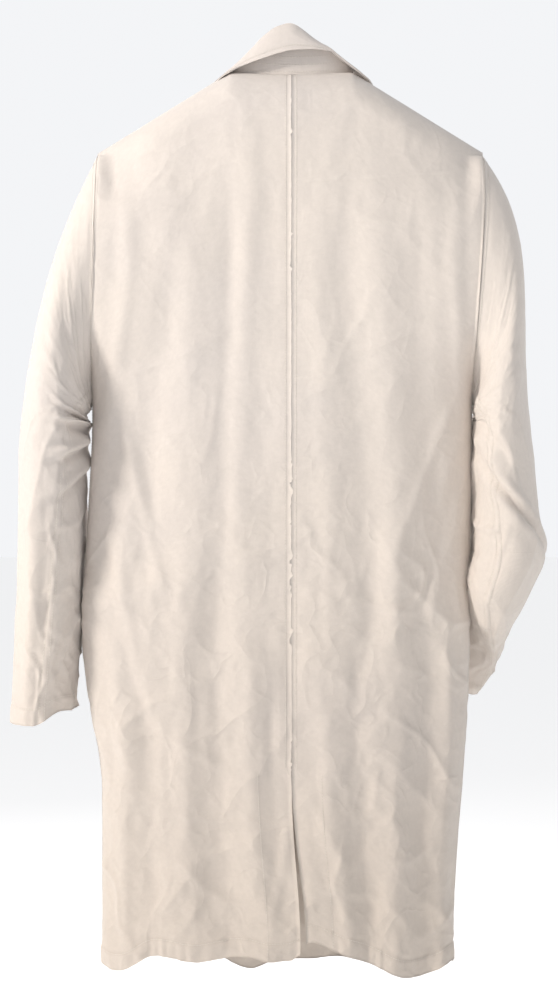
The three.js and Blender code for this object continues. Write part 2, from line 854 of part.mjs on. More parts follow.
function buttons() {
  const right = sides[1];
  for (let i = 0; i < button.count; i += 1) {
    const z = buttonRow.topZ - i * buttonRow.pitch;
    const ax = frontEdge(right, z) + buttonRow.edgeInset;
    const foot = bodyPoint(right, -1, ax, z);
    const shank = new THREE.CylinderGeometry(buttonRow.shankRadius, buttonRow.shankRadius,
      buttonRow.shank - 2 * threadGap, buttonSides.shank);
    const shankMesh = addMesh(`button_shank_${i + 1}`, shank, cloth(colours.thread));
    const face = foot.y - clothThickness;
    shankMesh.position.set(foot.x, face - buttonRow.shank / 2 - threadGap, z);
    const options = { depth: button.thickness, bevelEnabled: false };
    const disc = new THREE.ExtrudeGeometry(buttonShape(), options);
    const mesh = addMesh(`button_${i + 1}`, disc, cloth(colours.button, 0.35));
    mesh.rotation.x = Math.PI / 2;
    mesh.position.set(foot.x, face - buttonRow.shank - threadGap, z);
  }
}

// ---- Assembly --------------------------------------------------------------------------

for (const side of sides) {
  backPanel(side);
  frontSidePanel(side);
  frontNeckPiece(side);
  frontFlap(side);
  frontFacing(side);
  lapelPiece(side);
  collarEndPiece(side);
  ventFlap(side);
  slitFacing(side);
  sleevePieces(side);
}
collarStand();
collarLeaf();
yokeLining();
hangerLoopPiece();
neckLabel();
pockets();
buttons();

export default coat;
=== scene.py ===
# A knee-length cotton lab coat hanging from its shoulders, seen from behind.
import math

import bpy
import numpy as np
from mathutils import Matrix, Vector


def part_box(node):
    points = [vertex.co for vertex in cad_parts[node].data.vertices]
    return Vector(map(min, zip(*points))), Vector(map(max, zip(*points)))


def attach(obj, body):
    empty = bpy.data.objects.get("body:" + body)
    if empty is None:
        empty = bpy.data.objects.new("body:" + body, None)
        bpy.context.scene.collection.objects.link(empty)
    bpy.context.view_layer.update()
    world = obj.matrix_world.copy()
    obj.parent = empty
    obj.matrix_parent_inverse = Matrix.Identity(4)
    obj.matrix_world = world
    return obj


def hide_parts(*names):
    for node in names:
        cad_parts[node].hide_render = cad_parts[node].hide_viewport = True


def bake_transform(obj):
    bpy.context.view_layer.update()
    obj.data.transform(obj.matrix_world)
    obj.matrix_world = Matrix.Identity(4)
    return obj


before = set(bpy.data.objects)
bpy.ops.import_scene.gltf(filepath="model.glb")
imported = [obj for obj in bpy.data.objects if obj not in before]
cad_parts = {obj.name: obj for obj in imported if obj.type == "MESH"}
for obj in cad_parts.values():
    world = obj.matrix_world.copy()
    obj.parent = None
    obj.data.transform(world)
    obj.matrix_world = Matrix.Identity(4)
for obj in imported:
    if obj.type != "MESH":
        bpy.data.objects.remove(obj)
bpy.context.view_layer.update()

MM = 0.001

# ---- Dimensions in millimetres, as in the CAD model --------------------------------------

HEM_Z = -1050.0
CHEST_Z, HIP_Z, SHOULDER_TOP_Z = -395.0, -670.0, -100.0
SIDE_SEAM_Y = -6.0
HALF_WIDTH = {
    "left": {"shoulder": 232.0, "chest": 238.0, "hip": 250.0, "hem": 226.0},
    "right": {"shoulder": 230.0, "chest": 217.0, "hip": 214.0, "hem": 194.0},
}
DEPTH = {1: (50.0, 60.0), -1: (52.0, 84.0)}
SECTION_POWER = 2.4
NECK_HALF, NECK_RISE, NECK_BACK = 75.0, 7.0, 30.0
SHOULDER_SLOPE, SHOULDER_ROUND = 0.61, 45.0
ARM_TOP, ARM_BOTTOM, ARM_BACK, ARM_FRONT = -92.0, -388.0, 46.0, 50.0
FOLD_TOP_X, FOLD_BOTTOM_X, FOLD_TOP_Z = 113.0, 88.0, -60.0
MEET_TOP, MEET_HEM = 4.0, 28.0
BREAK_Z, ROLL_TOP_X, ROLL_START = -330.0, 74.0, 8.0
VENT_TOP_Z, VENT_FOLD_X, VENT_LENGTH = -821.0, 90.0, 229.0
YOKE_DEPTH = 130.0
CLOTH = 0.8
SLIT_Z, SLIT_SPREAD, SLIT_SWELL = -705.0, 55.0, 2.2
HEM_STITCH, HEM_BAND = 20.5, 30.0
ROW_TAPER = 1.22
BUTTON_TOP_Z, BUTTON_PITCH, BUTTON_COUNT = -350.0, 118.0, 5
BUTTON_HOLE = 2.4
LOOP_FLATNESS = 5.0
STITCH_ROWS = np.linspace(0.002, 0.998, 420)
YOKE_HALF, YOKE_SAG = 190.0, 12.0
POCKETS = {
    "chest": {"top": -232, "bottom": -372, "inner": 118, "outer": 212, "bulge": 11.0},
    "hip": {"top": -690, "bottom": -880, "from_fold": 9, "bulge": 14.0},
}
LINING_THICK, LEAF_THICK, STAND_THICK, TAPE_THICK = 0.6, 1.5, 1.4, 0.9
FLOOR_Z, CAMERA_DISTANCE, FRAME_HEIGHT, AIM_X, AIM_Z = -1.45, 2.35, 1.2, 0.0144, -0.505
SIGN = {"left": 1.0, "right": -1.0}


def smooth(t):
    t = np.clip(t, 0.0, 1.0)
    return t * t * (3.0 - 2.0 * t)


def mix(a, b, t):
    return a + (b - a) * t


def bell(distance, width):
    return np.exp(-((distance / width) ** 2))


def grid(across, down):
    return np.meshgrid(np.linspace(0, 1, across), np.linspace(0, 1, down), indexing="ij")


def added(name, data):
    obj = bpy.data.objects.new(name, data)
    bpy.context.scene.collection.objects.link(obj)
    return obj


# ---- The surface of the coat's body ------------------------------------------------------


def half_width(side, z):
    w = HALF_WIDTH[side]
    upper = mix(w["chest"], w["shoulder"], smooth((z - CHEST_Z) / (SHOULDER_TOP_Z - CHEST_Z)))
    middle = mix(w["hip"], w["chest"], smooth((z - HIP_Z) / (CHEST_Z - HIP_Z)))
    foot = -860.0 if side == "left" else HEM_Z
    lower = mix(w["hem"], w["hip"], smooth((z - foot) / (HIP_Z - foot)))
    return np.where(z > CHEST_Z, upper, np.where(z > HIP_Z, middle, lower))


def shoulder_z(ax):
    share = np.abs(ax) / NECK_HALF
    return np.where(
        share < 1.0, NECK_RISE * share**2, NECK_RISE - SHOULDER_SLOPE * (np.abs(ax) - NECK_HALF)
    )


def armhole_depth(face, z):
    middle, radius = (ARM_TOP + ARM_BOTTOM) / 2, (ARM_TOP - ARM_BOTTOM) / 2
    half = ARM_BACK if face > 0 else ARM_FRONT
    t = (z - middle) / radius
    oval = np.sqrt(np.clip(1.0 - t**2, 0.0, 1.0))
    # Below the middle the opening runs out softly into the side seam.
    soft = 0.5 + 0.5 * np.cos(np.clip(-t / 1.18, 0.0, 1.0) * math.pi)
    return half * mix(oval, soft, smooth((-t - 0.35) / 0.45))


def body_point(side, face, ax, z):
    """The inside face of the cloth, at a distance ax from the centre and a height z."""
    ax, z = np.broadcast_arrays(np.asarray(ax, float), np.asarray(z, float))
    share = np.clip(np.abs(ax) / half_width(side, z), 0.0, 1.0)
    round_off = (1.0 - share**SECTION_POWER) ** (1.0 / SECTION_POWER)
    below = np.clip((shoulder_z(ax) - z) / SHOULDER_ROUND, 0.0, 1.0)
    rise = np.sqrt(1.0 - (1.0 - below) ** 2)
    top, hem = DEPTH[face]
    centre = mix(top, hem, np.clip(z / HEM_Z, 0.0, 1.0))
    at_neck = np.zeros_like(ax)
    if face > 0:
        neck = np.clip(np.abs(ax) / NECK_HALF, 0.0, 1.0)
        at_neck = (NECK_BACK / top) * np.sqrt(1.0 - neck**2)
    arm = armhole_depth(face, z)
    eased = arm * smooth((ARM_TOP - z) / 75.0)
    arm = mix(eased, arm, smooth((share - 0.9) / 0.1))
    depth = arm + (centre - arm) * round_off * mix(at_neck, 1.0, rise)
    return np.stack([SIGN[side] * ax, SIDE_SEAM_Y + face * depth, z], axis=-1)


def around(end, inner, u):
    """Even steps round the section, from a distance inner out to the side edge."""
    q = SECTION_POWER / 2
    ratio = np.clip(inner / end, -1.0, 1.0)
    start = np.arcsin(np.sign(ratio) * np.abs(ratio) ** q)
    turn = np.sin(mix(start, math.pi / 2, u))
    return end * np.sign(turn) * np.abs(turn) ** (1 / q)


def fold_x(z):
    return mix(FOLD_TOP_X, FOLD_BOTTOM_X, (FOLD_TOP_Z - z) / (FOLD_TOP_Z - HEM_Z))


def meet_x(z):
    return mix(MEET_TOP, MEET_HEM, np.clip(z / HEM_Z, 0.0, 1.0))


def roll_x(side, z):
    foot = SIGN[side] * meet_x(BREAK_Z) + ROLL_START
    return mix(foot, ROLL_TOP_X, np.clip((z - BREAK_Z) / (FOLD_TOP_Z - BREAK_Z), 0.0, 1.0))


def front_edge(side, z):
    edge = mix(roll_x(side, z), SIGN[side] * meet_x(z) + 0.8, smooth((BREAK_Z - z) / 40.0))
    return np.where(z > BREAK_Z, roll_x(side, z), edge)


# ---- Relief of the cloth -----------------------------------------------------------------


def lattice(ix, iy, seed):
    h = (ix.astype(np.int64) * 374761393 + iy.astype(np.int64) * 668265263 + seed * 144269) & 0xFFFFFFFF
    h = ((h ^ (h >> 13)) * 1274126177) & 0xFFFFFFFF
    return ((h ^ (h >> 16)) & 0xFFFF) / 32767.5 - 1.0


def noise(x, y, seed):
    ix, iy = np.floor(x), np.floor(y)
    fx, fy = smooth(x - ix), smooth(y - iy)
    low = mix(lattice(ix, iy, seed), lattice(ix + 1, iy, seed), fx)
    high = mix(lattice(ix, iy + 1, seed), lattice(ix + 1, iy + 1, seed), fx)
    return mix(low, high, fy)


def creases(x, y, size, angle, seed):
    """Thin sharp ridges that wander across the cloth."""
    c, s = math.cos(angle), math.sin(angle)
    a, b = (x * c + y * s) / size, (-x * s + y * c) / (size * 2.2)
    bent = a + 0.45 * noise(a * 0.7, b * 0.9, seed + 7)
    line = 1.0 - np.abs(noise(bent, b, seed)) * 2.4
    mask = smooth(noise(a * 0.45, b * 0.6, seed + 3) * 1.6 + 0.35)
    return np.clip(line, 0.0, 1.0) ** 2 * mask


def fold(x, z, top, bottom, width, height):
    """A long soft ridge (or a valley, below zero) between two points."""
    t = (z - top[1]) / (bottom[1] - top[1])
    centre = mix(top[0], bottom[0], t)
    ends = smooth(t / 0.22) * smooth((1.12 - t) / 0.2)
    return height * ends * bell(x - centre, width)


# Each fold runs from its top to its bottom point, with a half width and a height.
BACK_FOLDS = [
    ((44, -60), (62, -560), 15, 4.2),
    ((66, -110), (84, -640), 12, -3.4),
    ((112, -90), (128, -700), 24, 4.0),
    ((150, -200), (170, -620), 20, -4.4),
    ((188, -120), (214, -430), 12, 4.4),
    ((-30, -90), (-44, -700), 16, 3.0),
    ((-62, -120), (-96, -700), 18, -4.6),
    ((-104, -100), (-130, -640), 20, 4.4),
    ((-150, -150), (-168, -560), 17, -4.0),
    ((-192, -110), (-206, -420), 11, 4.2),
    ((-196, -380), (-120, -560), 8, 2.6),
    ((-206, -440), (-150, -640), 8, -2.4),
    ((196, -400), (150, -610), 9, 4.4),
    ((214, -520), (168, -760), 9, 3.6),
    ((206, -620), (196, -1090), 12, 7.0),
    ((176, -680), (160, -1090), 14, -7.5),
    ((136, -620), (118, -1090), 15, 6.0),
    ((88, -560), (84, -1090), 15, -6.0),
    ((48, -640), (44, -1090), 13, 5.6),
    ((18, -700), (20, -960), 8, -3.4),
    ((-40, -700), (-52, -1090), 13, 6.5),
    ((-76, -640), (-86, -1090), 14, -6.4),
    ((-116, -480), (-122, -1090), 17, 7.0),
    ((-158, -600), (-156, -1090), 13, -6.6),
    ((-186, -620), (-180, -1090), 9, 5.0),
]
FRONT_FOLDS = [
    ((150, -150), (165, -620), 24, 4.0),
    ((200, -420), (205, -1080), 18, 5.2),
    ((128, -500), (118, -1080), 20, -4.6),
    ((70, -420), (72, -1080), 18, 5.2),
    ((45, -620), (48, -1080), 12, -4.0),
    ((-120, -150), (-150, -600), 24, 4.0),
    ((-160, -560), (-150, -1080), 18, 5.4),
    ((-110, -520), (-112, -1080), 18, -4.6),
    ((-60, -430), (-66, -1080), 18, 5.0),
    ((-30, -600), (-34, -1080), 13, -4.0),
]


def crumple(x, z, size, seed):
    """Short sharp creases in every direction, as in washed cotton."""
    bend_x = x + 0.35 * size * noise(x / size * 0.8, z / size * 0.8, seed + 1)
    bend_z = z + 0.35 * size * noise(x / size * 0.8, z / size * 0.8, seed + 2)
    total = 0.0
    for k, angle in enumerate((0.35, -0.6, 1.25, -1.1)):
        total = total + creases(bend_x, bend_z, size * (1.0 + 0.23 * k), angle, seed + 10 * k)
    return total


def drape(face, x, z):
    folds = BACK_FOLDS if face > 0 else FRONT_FOLDS
    sway = 7.0 * noise(z / 130, x / 160, 17 + face)
    total = 0.62 * sum(fold(x + sway, z, *f) for f in folds)
    low = smooth((-420.0 - z) / 260.0)
    total = total + 2.2 * noise(x / 52, z / 230, 11 + face)
    total = total + (0.7 + 1.2 * low) * noise(x / 24, z / 80, 23 + face)
    total = total + (0.3 + 0.5 * low) * noise(x / 11, z / 26, 27 + face)
    large, small = crumple(x, z, 40, 31 + face), crumple(x, z, 17, 83 + face)
    return total + (0.7 + 1.9 * low) * large + (0.2 + 0.6 * low) * small - 0.8


def pucker(along, wave=8.0, seed=61):
    return noise(along / wave, np.full_like(along, 0.5), seed)


# ---- Meshes ------------------------------------------------------------------------------


def grid_normals(points, closed=False):
    if closed:
        across = np.roll(points, -1, axis=0) - np.roll(points, 1, axis=0)
    else:
        across = np.gradient(points, axis=0)
    along = np.gradient(points, axis=1)
    normal = np.cross(across, along)
    length = np.linalg.norm(normal, axis=-1, keepdims=True)
    return normal / np.maximum(length, 1e-9)


def outward_normals(points, outward, closed=False):
    """Unit normals that point to the cloth's outside; outward is a direction or 'centre'."""
    normal = grid_normals(points, closed)
    if isinstance(outward, str):
        hint = points - points.mean(axis=0, keepdims=True)
    else:
        hint = np.broadcast_to(np.asarray(outward, float), points.shape)
    sign = 1.0 if np.sum(normal * hint) > 0 else -1.0
    return normal * sign, sign


def at_length(distance, along, values):
    """The three coordinates of values, at a distance along a line."""
    return np.array([np.interp(distance, along, values[:, c]) for c in range(3)])


class Cloth:
    """One piece of cloth: a grid of points, its thickness and its rows of stitches."""

    def __init__(self, points, outward, closed=False, thickness=CLOTH):
        self.points, self.closed, self.outward = points, closed, outward
        self.thickness = thickness
        self.normals, self.sign = outward_normals(points, outward, closed)
        self.threads = []

    def relief(self, height):
        self.points = self.points + self.normals * height[..., None]
        self.normals, self.sign = outward_normals(self.points, self.outward, self.closed)
        return self

    def at(self, u, v):
        """Points and normals at fractions u and v of the grid."""
        n, m = self.points.shape[0], self.points.shape[1]
        a = np.clip(np.asarray(u, float), 0, 1) * (n - 1)
        b = np.clip(np.asarray(v, float), 0, 1) * (m - 1)
        a, b = np.broadcast_arrays(a, b)
        i, j = np.minimum(a.astype(int), n - 2), np.minimum(b.astype(int), m - 2)
        fa, fb = (a - i)[..., None], (b - j)[..., None]

        def pick(array):
            low = mix(array[i, j], array[i + 1, j], fa)
            high = mix(array[i, j + 1], array[i + 1, j + 1], fa)
            return mix(low, high, fb)

        return pick(self.points), pick(self.normals)

    def stitch(self, u, v, pitch=3.4, length=2.4):
        """A row of thread dashes along a line of the grid."""
        line, normal = self.at(u, v)
        steps = np.linalg.norm(np.diff(line, axis=0), axis=1)
        along = np.concatenate([[0.0], np.cumsum(steps)])
        if along[-1] < 2 * pitch:
            return self
        for start in np.arange(pitch * 0.3, along[-1] - length, pitch):
            first, last = (at_length(start + k, along, line) for k in (0, length))
            self.threads.append((first, last, at_length(start, along, normal)))
        return self

    def stitch_down(self, across, rows, **dash):
        return self.stitch(np.full(len(rows), across), rows, **dash)

    def stitch_across(self, level, columns, **dash):
        return self.stitch(columns, np.full(len(columns), level), **dash)

    def face(self, hint):
        """Turn the outside towards the hint."""
        if np.sum(self.normals * hint) < 0:
            self.normals, self.sign = -self.normals, -self.sign

    def build(self, name, material=None):
        n, m = self.points.shape[:2]
        outer = self.points.reshape(-1, 3)
        inner = (self.points - self.normals * self.thickness).reshape(-1, 3)
        columns = n if self.closed else n - 1
        i, j = np.meshgrid(np.arange(columns), np.arange(m - 1), indexing="ij")
        a, b = i * m + j, ((i + 1) % n) * m + j
        quads = np.stack([a, b, b + 1, a + 1], axis=-1).reshape(-1, 4)
        if self.sign < 0:
            quads = quads[:, ::-1]
        count = n * m
        faces = [quads, quads[:, ::-1] + count]
        faces += [self._rim(a_list, count) for a_list in self._edges(n, m)]
        verts = [outer, inner]
        offset = 2 * count
        cloth_faces = sum(len(f) for f in faces)
        if self.threads:
            thread_verts, thread_faces = thread_mesh(self.threads)
            verts.append(thread_verts)
            faces.append(thread_faces + offset)
        verts, faces = np.concatenate(verts) * MM, np.concatenate(faces)
        mesh = bpy.data.meshes.new(name)
        mesh.from_pydata(verts.tolist(), [], faces.tolist())
        mesh.materials.append(material or SHELL)
        mesh.materials.append(THREAD)
        index = np.zeros(len(faces), dtype=np.int32)
        index[cloth_faces:] = 1
        mesh.polygons.foreach_set("material_index", index)
        mesh.polygons.foreach_set("use_smooth", np.ones(len(faces), dtype=bool))
        self._unwrap(mesh, n, m, len(verts))
        mesh.update()
        return added(name, mesh)

    def _edges(self, n, m):
        low, high = np.arange(n) * m, np.arange(n) * m + m - 1
        if self.closed:
            low, high = np.append(low, low[0]), np.append(high, high[0])
            return [low[::-1], high]
        first, last = np.arange(m), (n - 1) * m + np.arange(m)
        return [low[::-1], last[::-1], high, first]

    def _rim(self, edge, count):
        a, b = edge[:-1], edge[1:]
        rim = np.stack([a, b, b + count, a + count], axis=-1)
        return rim if self.sign < 0 else rim[:, ::-1]

    def _unwrap(self, mesh, n, m, total):
        across = np.linalg.norm(np.diff(self.points, axis=0), axis=-1).mean(axis=1)
        along = np.linalg.norm(np.diff(self.points, axis=1), axis=-1).mean(axis=0)
        u = np.concatenate([[0.0], np.cumsum(across)])
        v = np.concatenate([[0.0], np.cumsum(along)])
        flat = np.stack(np.broadcast_arrays(u[:, None], v[None, :]), axis=-1).reshape(-1, 2)
        flat = np.concatenate([flat, flat, np.zeros((total - 2 * n * m, 2))])
        loops = np.empty(len(mesh.loops), dtype=np.int32)
        mesh.loops.foreach_get("vertex_index", loops)
        layer = mesh.uv_layers.new(name="flat_mm")
        layer.data.foreach_set("uv", flat[loops].ravel())


def thread_mesh(threads, half=0.28):
    """Small six-sided spindles, one for each stitch."""
    start = np.array([t[0] for t in threads])
    end = np.array([t[1] for t in threads])
    up = np.array([t[2] for t in threads])
    up /= np.linalg.norm(up, axis=1, keepdims=True)
    run = end - start
    side = np.cross(run, up)
    side /= np.maximum(np.linalg.norm(side, axis=1, keepdims=True), 1e-9)
    rings = []
    for t, size in ((0.0, 0.35), (0.2, 1.0), (0.8, 1.0), (1.0, 0.35)):
        centre = start + run * t + up * (0.12 + 0.2 * size)
        for k in range(4):
            angle = math.pi / 2 * k
            rings.append(centre + half * size * (math.cos(angle) * side + math.sin(angle) * up))
    verts = np.stack(rings, axis=1).reshape(-1, 3)
    one = []
    for r in range(3):
        for k in range(4):
            a, b = r * 4 + k, r * 4 + (k + 1) % 4
            one.append([a, b, b + 4, a + 4])
    one += [[3, 2, 1, 0], [12, 13, 14, 15]]
    one = np.array(one)
    base = (np.arange(len(threads)) * 16)[:, None, None]
    return verts, (one[None] + base).reshape(-1, 4)


def settle(piece, body, slot, *nodes):
    """The piece shows these nodes of the CAD and moves with one body."""
    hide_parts(*nodes)
    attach(piece, body)


# ---- Materials ---------------------------------------------------------------------------


def node(tree, kind, **inputs):
    made = tree.nodes.new(kind)
    for key, value in inputs.items():
        made.inputs[key.replace("_", " ")].default_value = value
    return made


def linked(tree, kind, source, socket, **inputs):
    """A node with one of its inputs joined to another node's output."""
    made = node(tree, kind, **inputs)
    tree.links.new(source, made.inputs[socket])
    return made


def reading(tree, source, low, high, out_low, out_high):
    """The source's range from low to high, read as out_low to out_high."""
    return linked(tree, "ShaderNodeMapRange", source, "Value",
                  From_Min=low, From_Max=high, To_Min=out_low, To_Max=out_high).outputs["Result"]


def maths(tree, operation, source, *values):
    """One sum on a source; each further value is a number or another output."""
    made = linked(tree, "ShaderNodeMath", source, 0)
    made.operation = operation
    for place, value in enumerate(values, start=1):
        if isinstance(value, float):
            made.inputs[place].default_value = value
        else:
            tree.links.new(value, made.inputs[place])
    return made.outputs["Value"]


def two_tone(tree, source, dark, light, span=(0.0, 1.0)):
    ramp = linked(tree, "ShaderNodeValToRGB", source, "Fac")
    for element, position, colour in zip(ramp.color_ramp.elements, span, (dark, light)):
        element.position, element.color = position, (*colour, 1)
    return ramp.outputs["Color"]


def new_material(name, **inputs):
    material = bpy.data.materials.new(name)
    material.use_nodes = True
    shader = material.node_tree.nodes["Principled BSDF"]
    for key, value in inputs.items():
        shader.inputs[key.replace("_", " ")].default_value = value
    return material, material.node_tree, shader


def cotton(name, light, lower_shade_colour, shade, weave=0.35):
    """Plain-weave cotton: crossing threads, slubs, soft patches of warmer and cooler tone, and painted
    shade towards the bottom.
    """
    material, tree, shader = new_material(
        name, Roughness=0.86, Sheen_Weight=0.25, Sheen_Roughness=0.6, Specular_IOR_Level=0.25
    )
    link = tree.links.new
    place = tree.nodes.new("ShaderNodeTexCoord").outputs["Object"]
    flat = tree.nodes.new("ShaderNodeUVMap")
    flat.uv_map = "flat_mm"
    flat = flat.outputs["UV"]
    # Broad patches of the washed cloth.
    patches = linked(tree, "ShaderNodeTexNoise", place, "Vector", Scale=3.1, Detail=3.0, Roughness=0.55)
    ground = two_tone(tree, patches.outputs["Fac"], shade, light, (0.36, 0.62))
    # Painted shade: the colour grows darker and warmer towards the bottom of the coat.
    height = linked(tree, "ShaderNodeSeparateXYZ", place, "Vector").outputs["Z"]
    painted_lower_shade = tree.nodes.new("ShaderNodeMix")
    painted_lower_shade.data_type = "RGBA"
    painted_lower_shade.inputs["B"].default_value = (*lower_shade_colour, 1)
    link(reading(tree, height, -0.35, -1.0, 0.0, 0.75), painted_lower_shade.inputs["Factor"])
    link(ground, painted_lower_shade.inputs["A"])
    # Threads both ways, and thicker slubs here and there.
    threads = []
    for direction in ("X", "Y"):
        wave = linked(tree, "ShaderNodeTexWave", flat, "Vector", Scale=0.36, Distortion=0.5, Detail=1.0)
        wave.wave_type, wave.bands_direction = "BANDS", direction
        threads.append(wave.outputs["Fac"])
    woven = maths(tree, "ADD", *threads)
    slub = linked(tree, "ShaderNodeTexNoise", flat, "Vector", Scale=0.16, Detail=4.0, Roughness=0.7)
    slub = slub.outputs["Fac"]
    surface = maths(tree, "MULTIPLY_ADD", slub, 1.6, woven)
    bump = linked(tree, "ShaderNodeBump", surface, "Height", Strength=weave, Distance=0.0003)
    link(bump.outputs["Normal"], shader.inputs["Normal"])
    # Fine pressed-in creases under the weave, stronger towards the hem.
    strength = reading(tree, height, -0.25, -0.75, 0.35, 1.0)
    for scale, depth, bend in ((8.5, 0.0144, 0.5), (21.0, 0.0072, 0.4)):
        field = linked(tree, "ShaderNodeTexNoise", place, "Vector",
                       Scale=scale, Detail=2.0, Roughness=0.45, Distortion=bend)
        ridge = maths(tree, "ABSOLUTE", maths(tree, "SUBTRACT", field.outputs["Fac"], 0.5))
        ridge = maths(tree, "MULTIPLY", maths(tree, "SMOOTH_MIN", ridge, 0.10, 0.06), strength)
        crease = linked(tree, "ShaderNodeBump", ridge, "Height", Strength=0.9, Distance=depth)
        crease.invert = True
        link(crease.outputs["Normal"], bump.inputs["Normal"])
        bump = crease
    # Slubs are a touch darker than the ground of the cloth.
    shaded = tree.nodes.new("ShaderNodeVectorMath")
    shaded.operation = "SCALE"
    link(painted_lower_shade.outputs["Result"], shaded.inputs[0])
    link(reading(tree, slub, 0.3, 0.75, 1.03, 0.95), shaded.inputs["Scale"])
    link(shaded.outputs["Vector"], shader.inputs["Base Color"])
    return material


def mottled(name, dark, light, noise_inputs, **inputs):
    """A plain material whose colour wanders between two tones."""
    material, tree, shader = new_material(name, **inputs)
    texture = node(tree, "ShaderNodeTexNoise", **noise_inputs)
    tree.links.new(two_tone(tree, texture.outputs["Fac"], dark, light), shader.inputs["Base Color"])
    return material


# The second colour given to each cotton is painted shade, mixed in towards the bottom of the coat.
SHELL = cotton("shell_cotton", (0.70, 0.635, 0.58), (0.56, 0.485, 0.415), (0.655, 0.60, 0.565))
LINING = cotton("lining_cotton", (0.66, 0.59, 0.52), (0.60, 0.52, 0.44), (0.60, 0.55, 0.50))
TAPE = cotton("tape_cotton", (0.80, 0.75, 0.69), (0.78, 0.72, 0.64), (0.76, 0.72, 0.68), weave=0.6)
THREAD = mottled("cotton_thread", (0.60, 0.55, 0.49), (0.86, 0.82, 0.76),
                 {"Scale": 900.0, "Detail": 2.0}, Roughness=0.6, Sheen_Weight=0.15)
BUTTON = mottled("button_resin", (0.70, 0.66, 0.60), (0.88, 0.86, 0.81),
                 {"Scale": 180.0, "Detail": 4.0, "Distortion": 2.0}, Roughness=0.24, Coat_Weight=0.4)


# ---- Body panels -------------------------------------------------------------------------


def edge_fade(distance, reach=12.0):
    return smooth(distance / reach)


def hem_drop(face, x):
    """How far the hem hangs below or above its level, across the coat."""
    if face > 0:
        at = (-194, -187, -158, -142, -124, -90, -53, -21, 0, 1, 37, 65, 115, 162, 185, 209, 230)
        drop = (-2, -6, -22, -23, -20, -2, 12, 26, 30, 14, 2, 14, 2, 12, -4, -21, -6)
    else:
        at = (-194, -150, -124, -90, -60, -12, 23, 40, 64, 90, 160, 230)
        drop = (-10, -30, -40, -32, -28, -30, -32, -46, -44, -24, -10, -14)
    level = sum(np.interp(x + d, at, drop) for d in (-12, -8, -4, 0, 4, 8, 12)) / 7.0
    if face > 0:
        slit = np.interp(x, (-30, 0, 0.01, 30), (0, 7, -7, 0))
        level = level + slit
    return level * 0.85 + 0.5 * noise(x / 8, np.zeros_like(x), 73 + face)


def shape_hem(face, points):
    """Waves and tiny gathers in the lowest part of a panel."""
    x, z = points[..., 0], points[..., 2]
    share = smooth((-900.0 - z) / 140.0)
    points = points.copy()
    points[..., 2] += share * hem_drop(face, x)
    if face > 0:
        lean = smooth((VENT_TOP_Z - z) / VENT_LENGTH) * smooth((150.0 - np.abs(x)) / 120.0)
        points[..., 0] -= 14.0 * lean
    return points


def hem_relief(height_above, along):
    """The doubled hem with its gathers and its line of stitches."""
    band = smooth((23.0 - height_above) / 2.5)
    gather = noise(along / 5.2, height_above / 26.0, 81)
    line = bell(height_above - HEM_STITCH, 1.6)
    return band * (0.9 + 1.1 * gather) - 1.2 * line


def seam_ridge(distance, along, width=7.0):
    """A felled seam: a flat fold beside the joining line, gently puckered."""
    flat = smooth((width - distance) / 1.5) * smooth(distance / 0.8)
    return flat * (0.5 + 0.35 * pucker(along, 9.0)) - 0.55 * bell(distance, 1.2)


def yoke_edge(x):
    return -YOKE_DEPTH + YOKE_SAG - YOKE_SAG * np.cos(np.clip(x / YOKE_HALF, -1, 1) * math.pi / 2)


def yoke_line(x, z):
    """The edge of the lining inside the back, which shows through as a soft step."""
    edge = yoke_edge(x)
    inside = smooth((192 - np.abs(x)) / 20.0)
    return 0.75 * inside * smooth((z - edge) / 3.5)


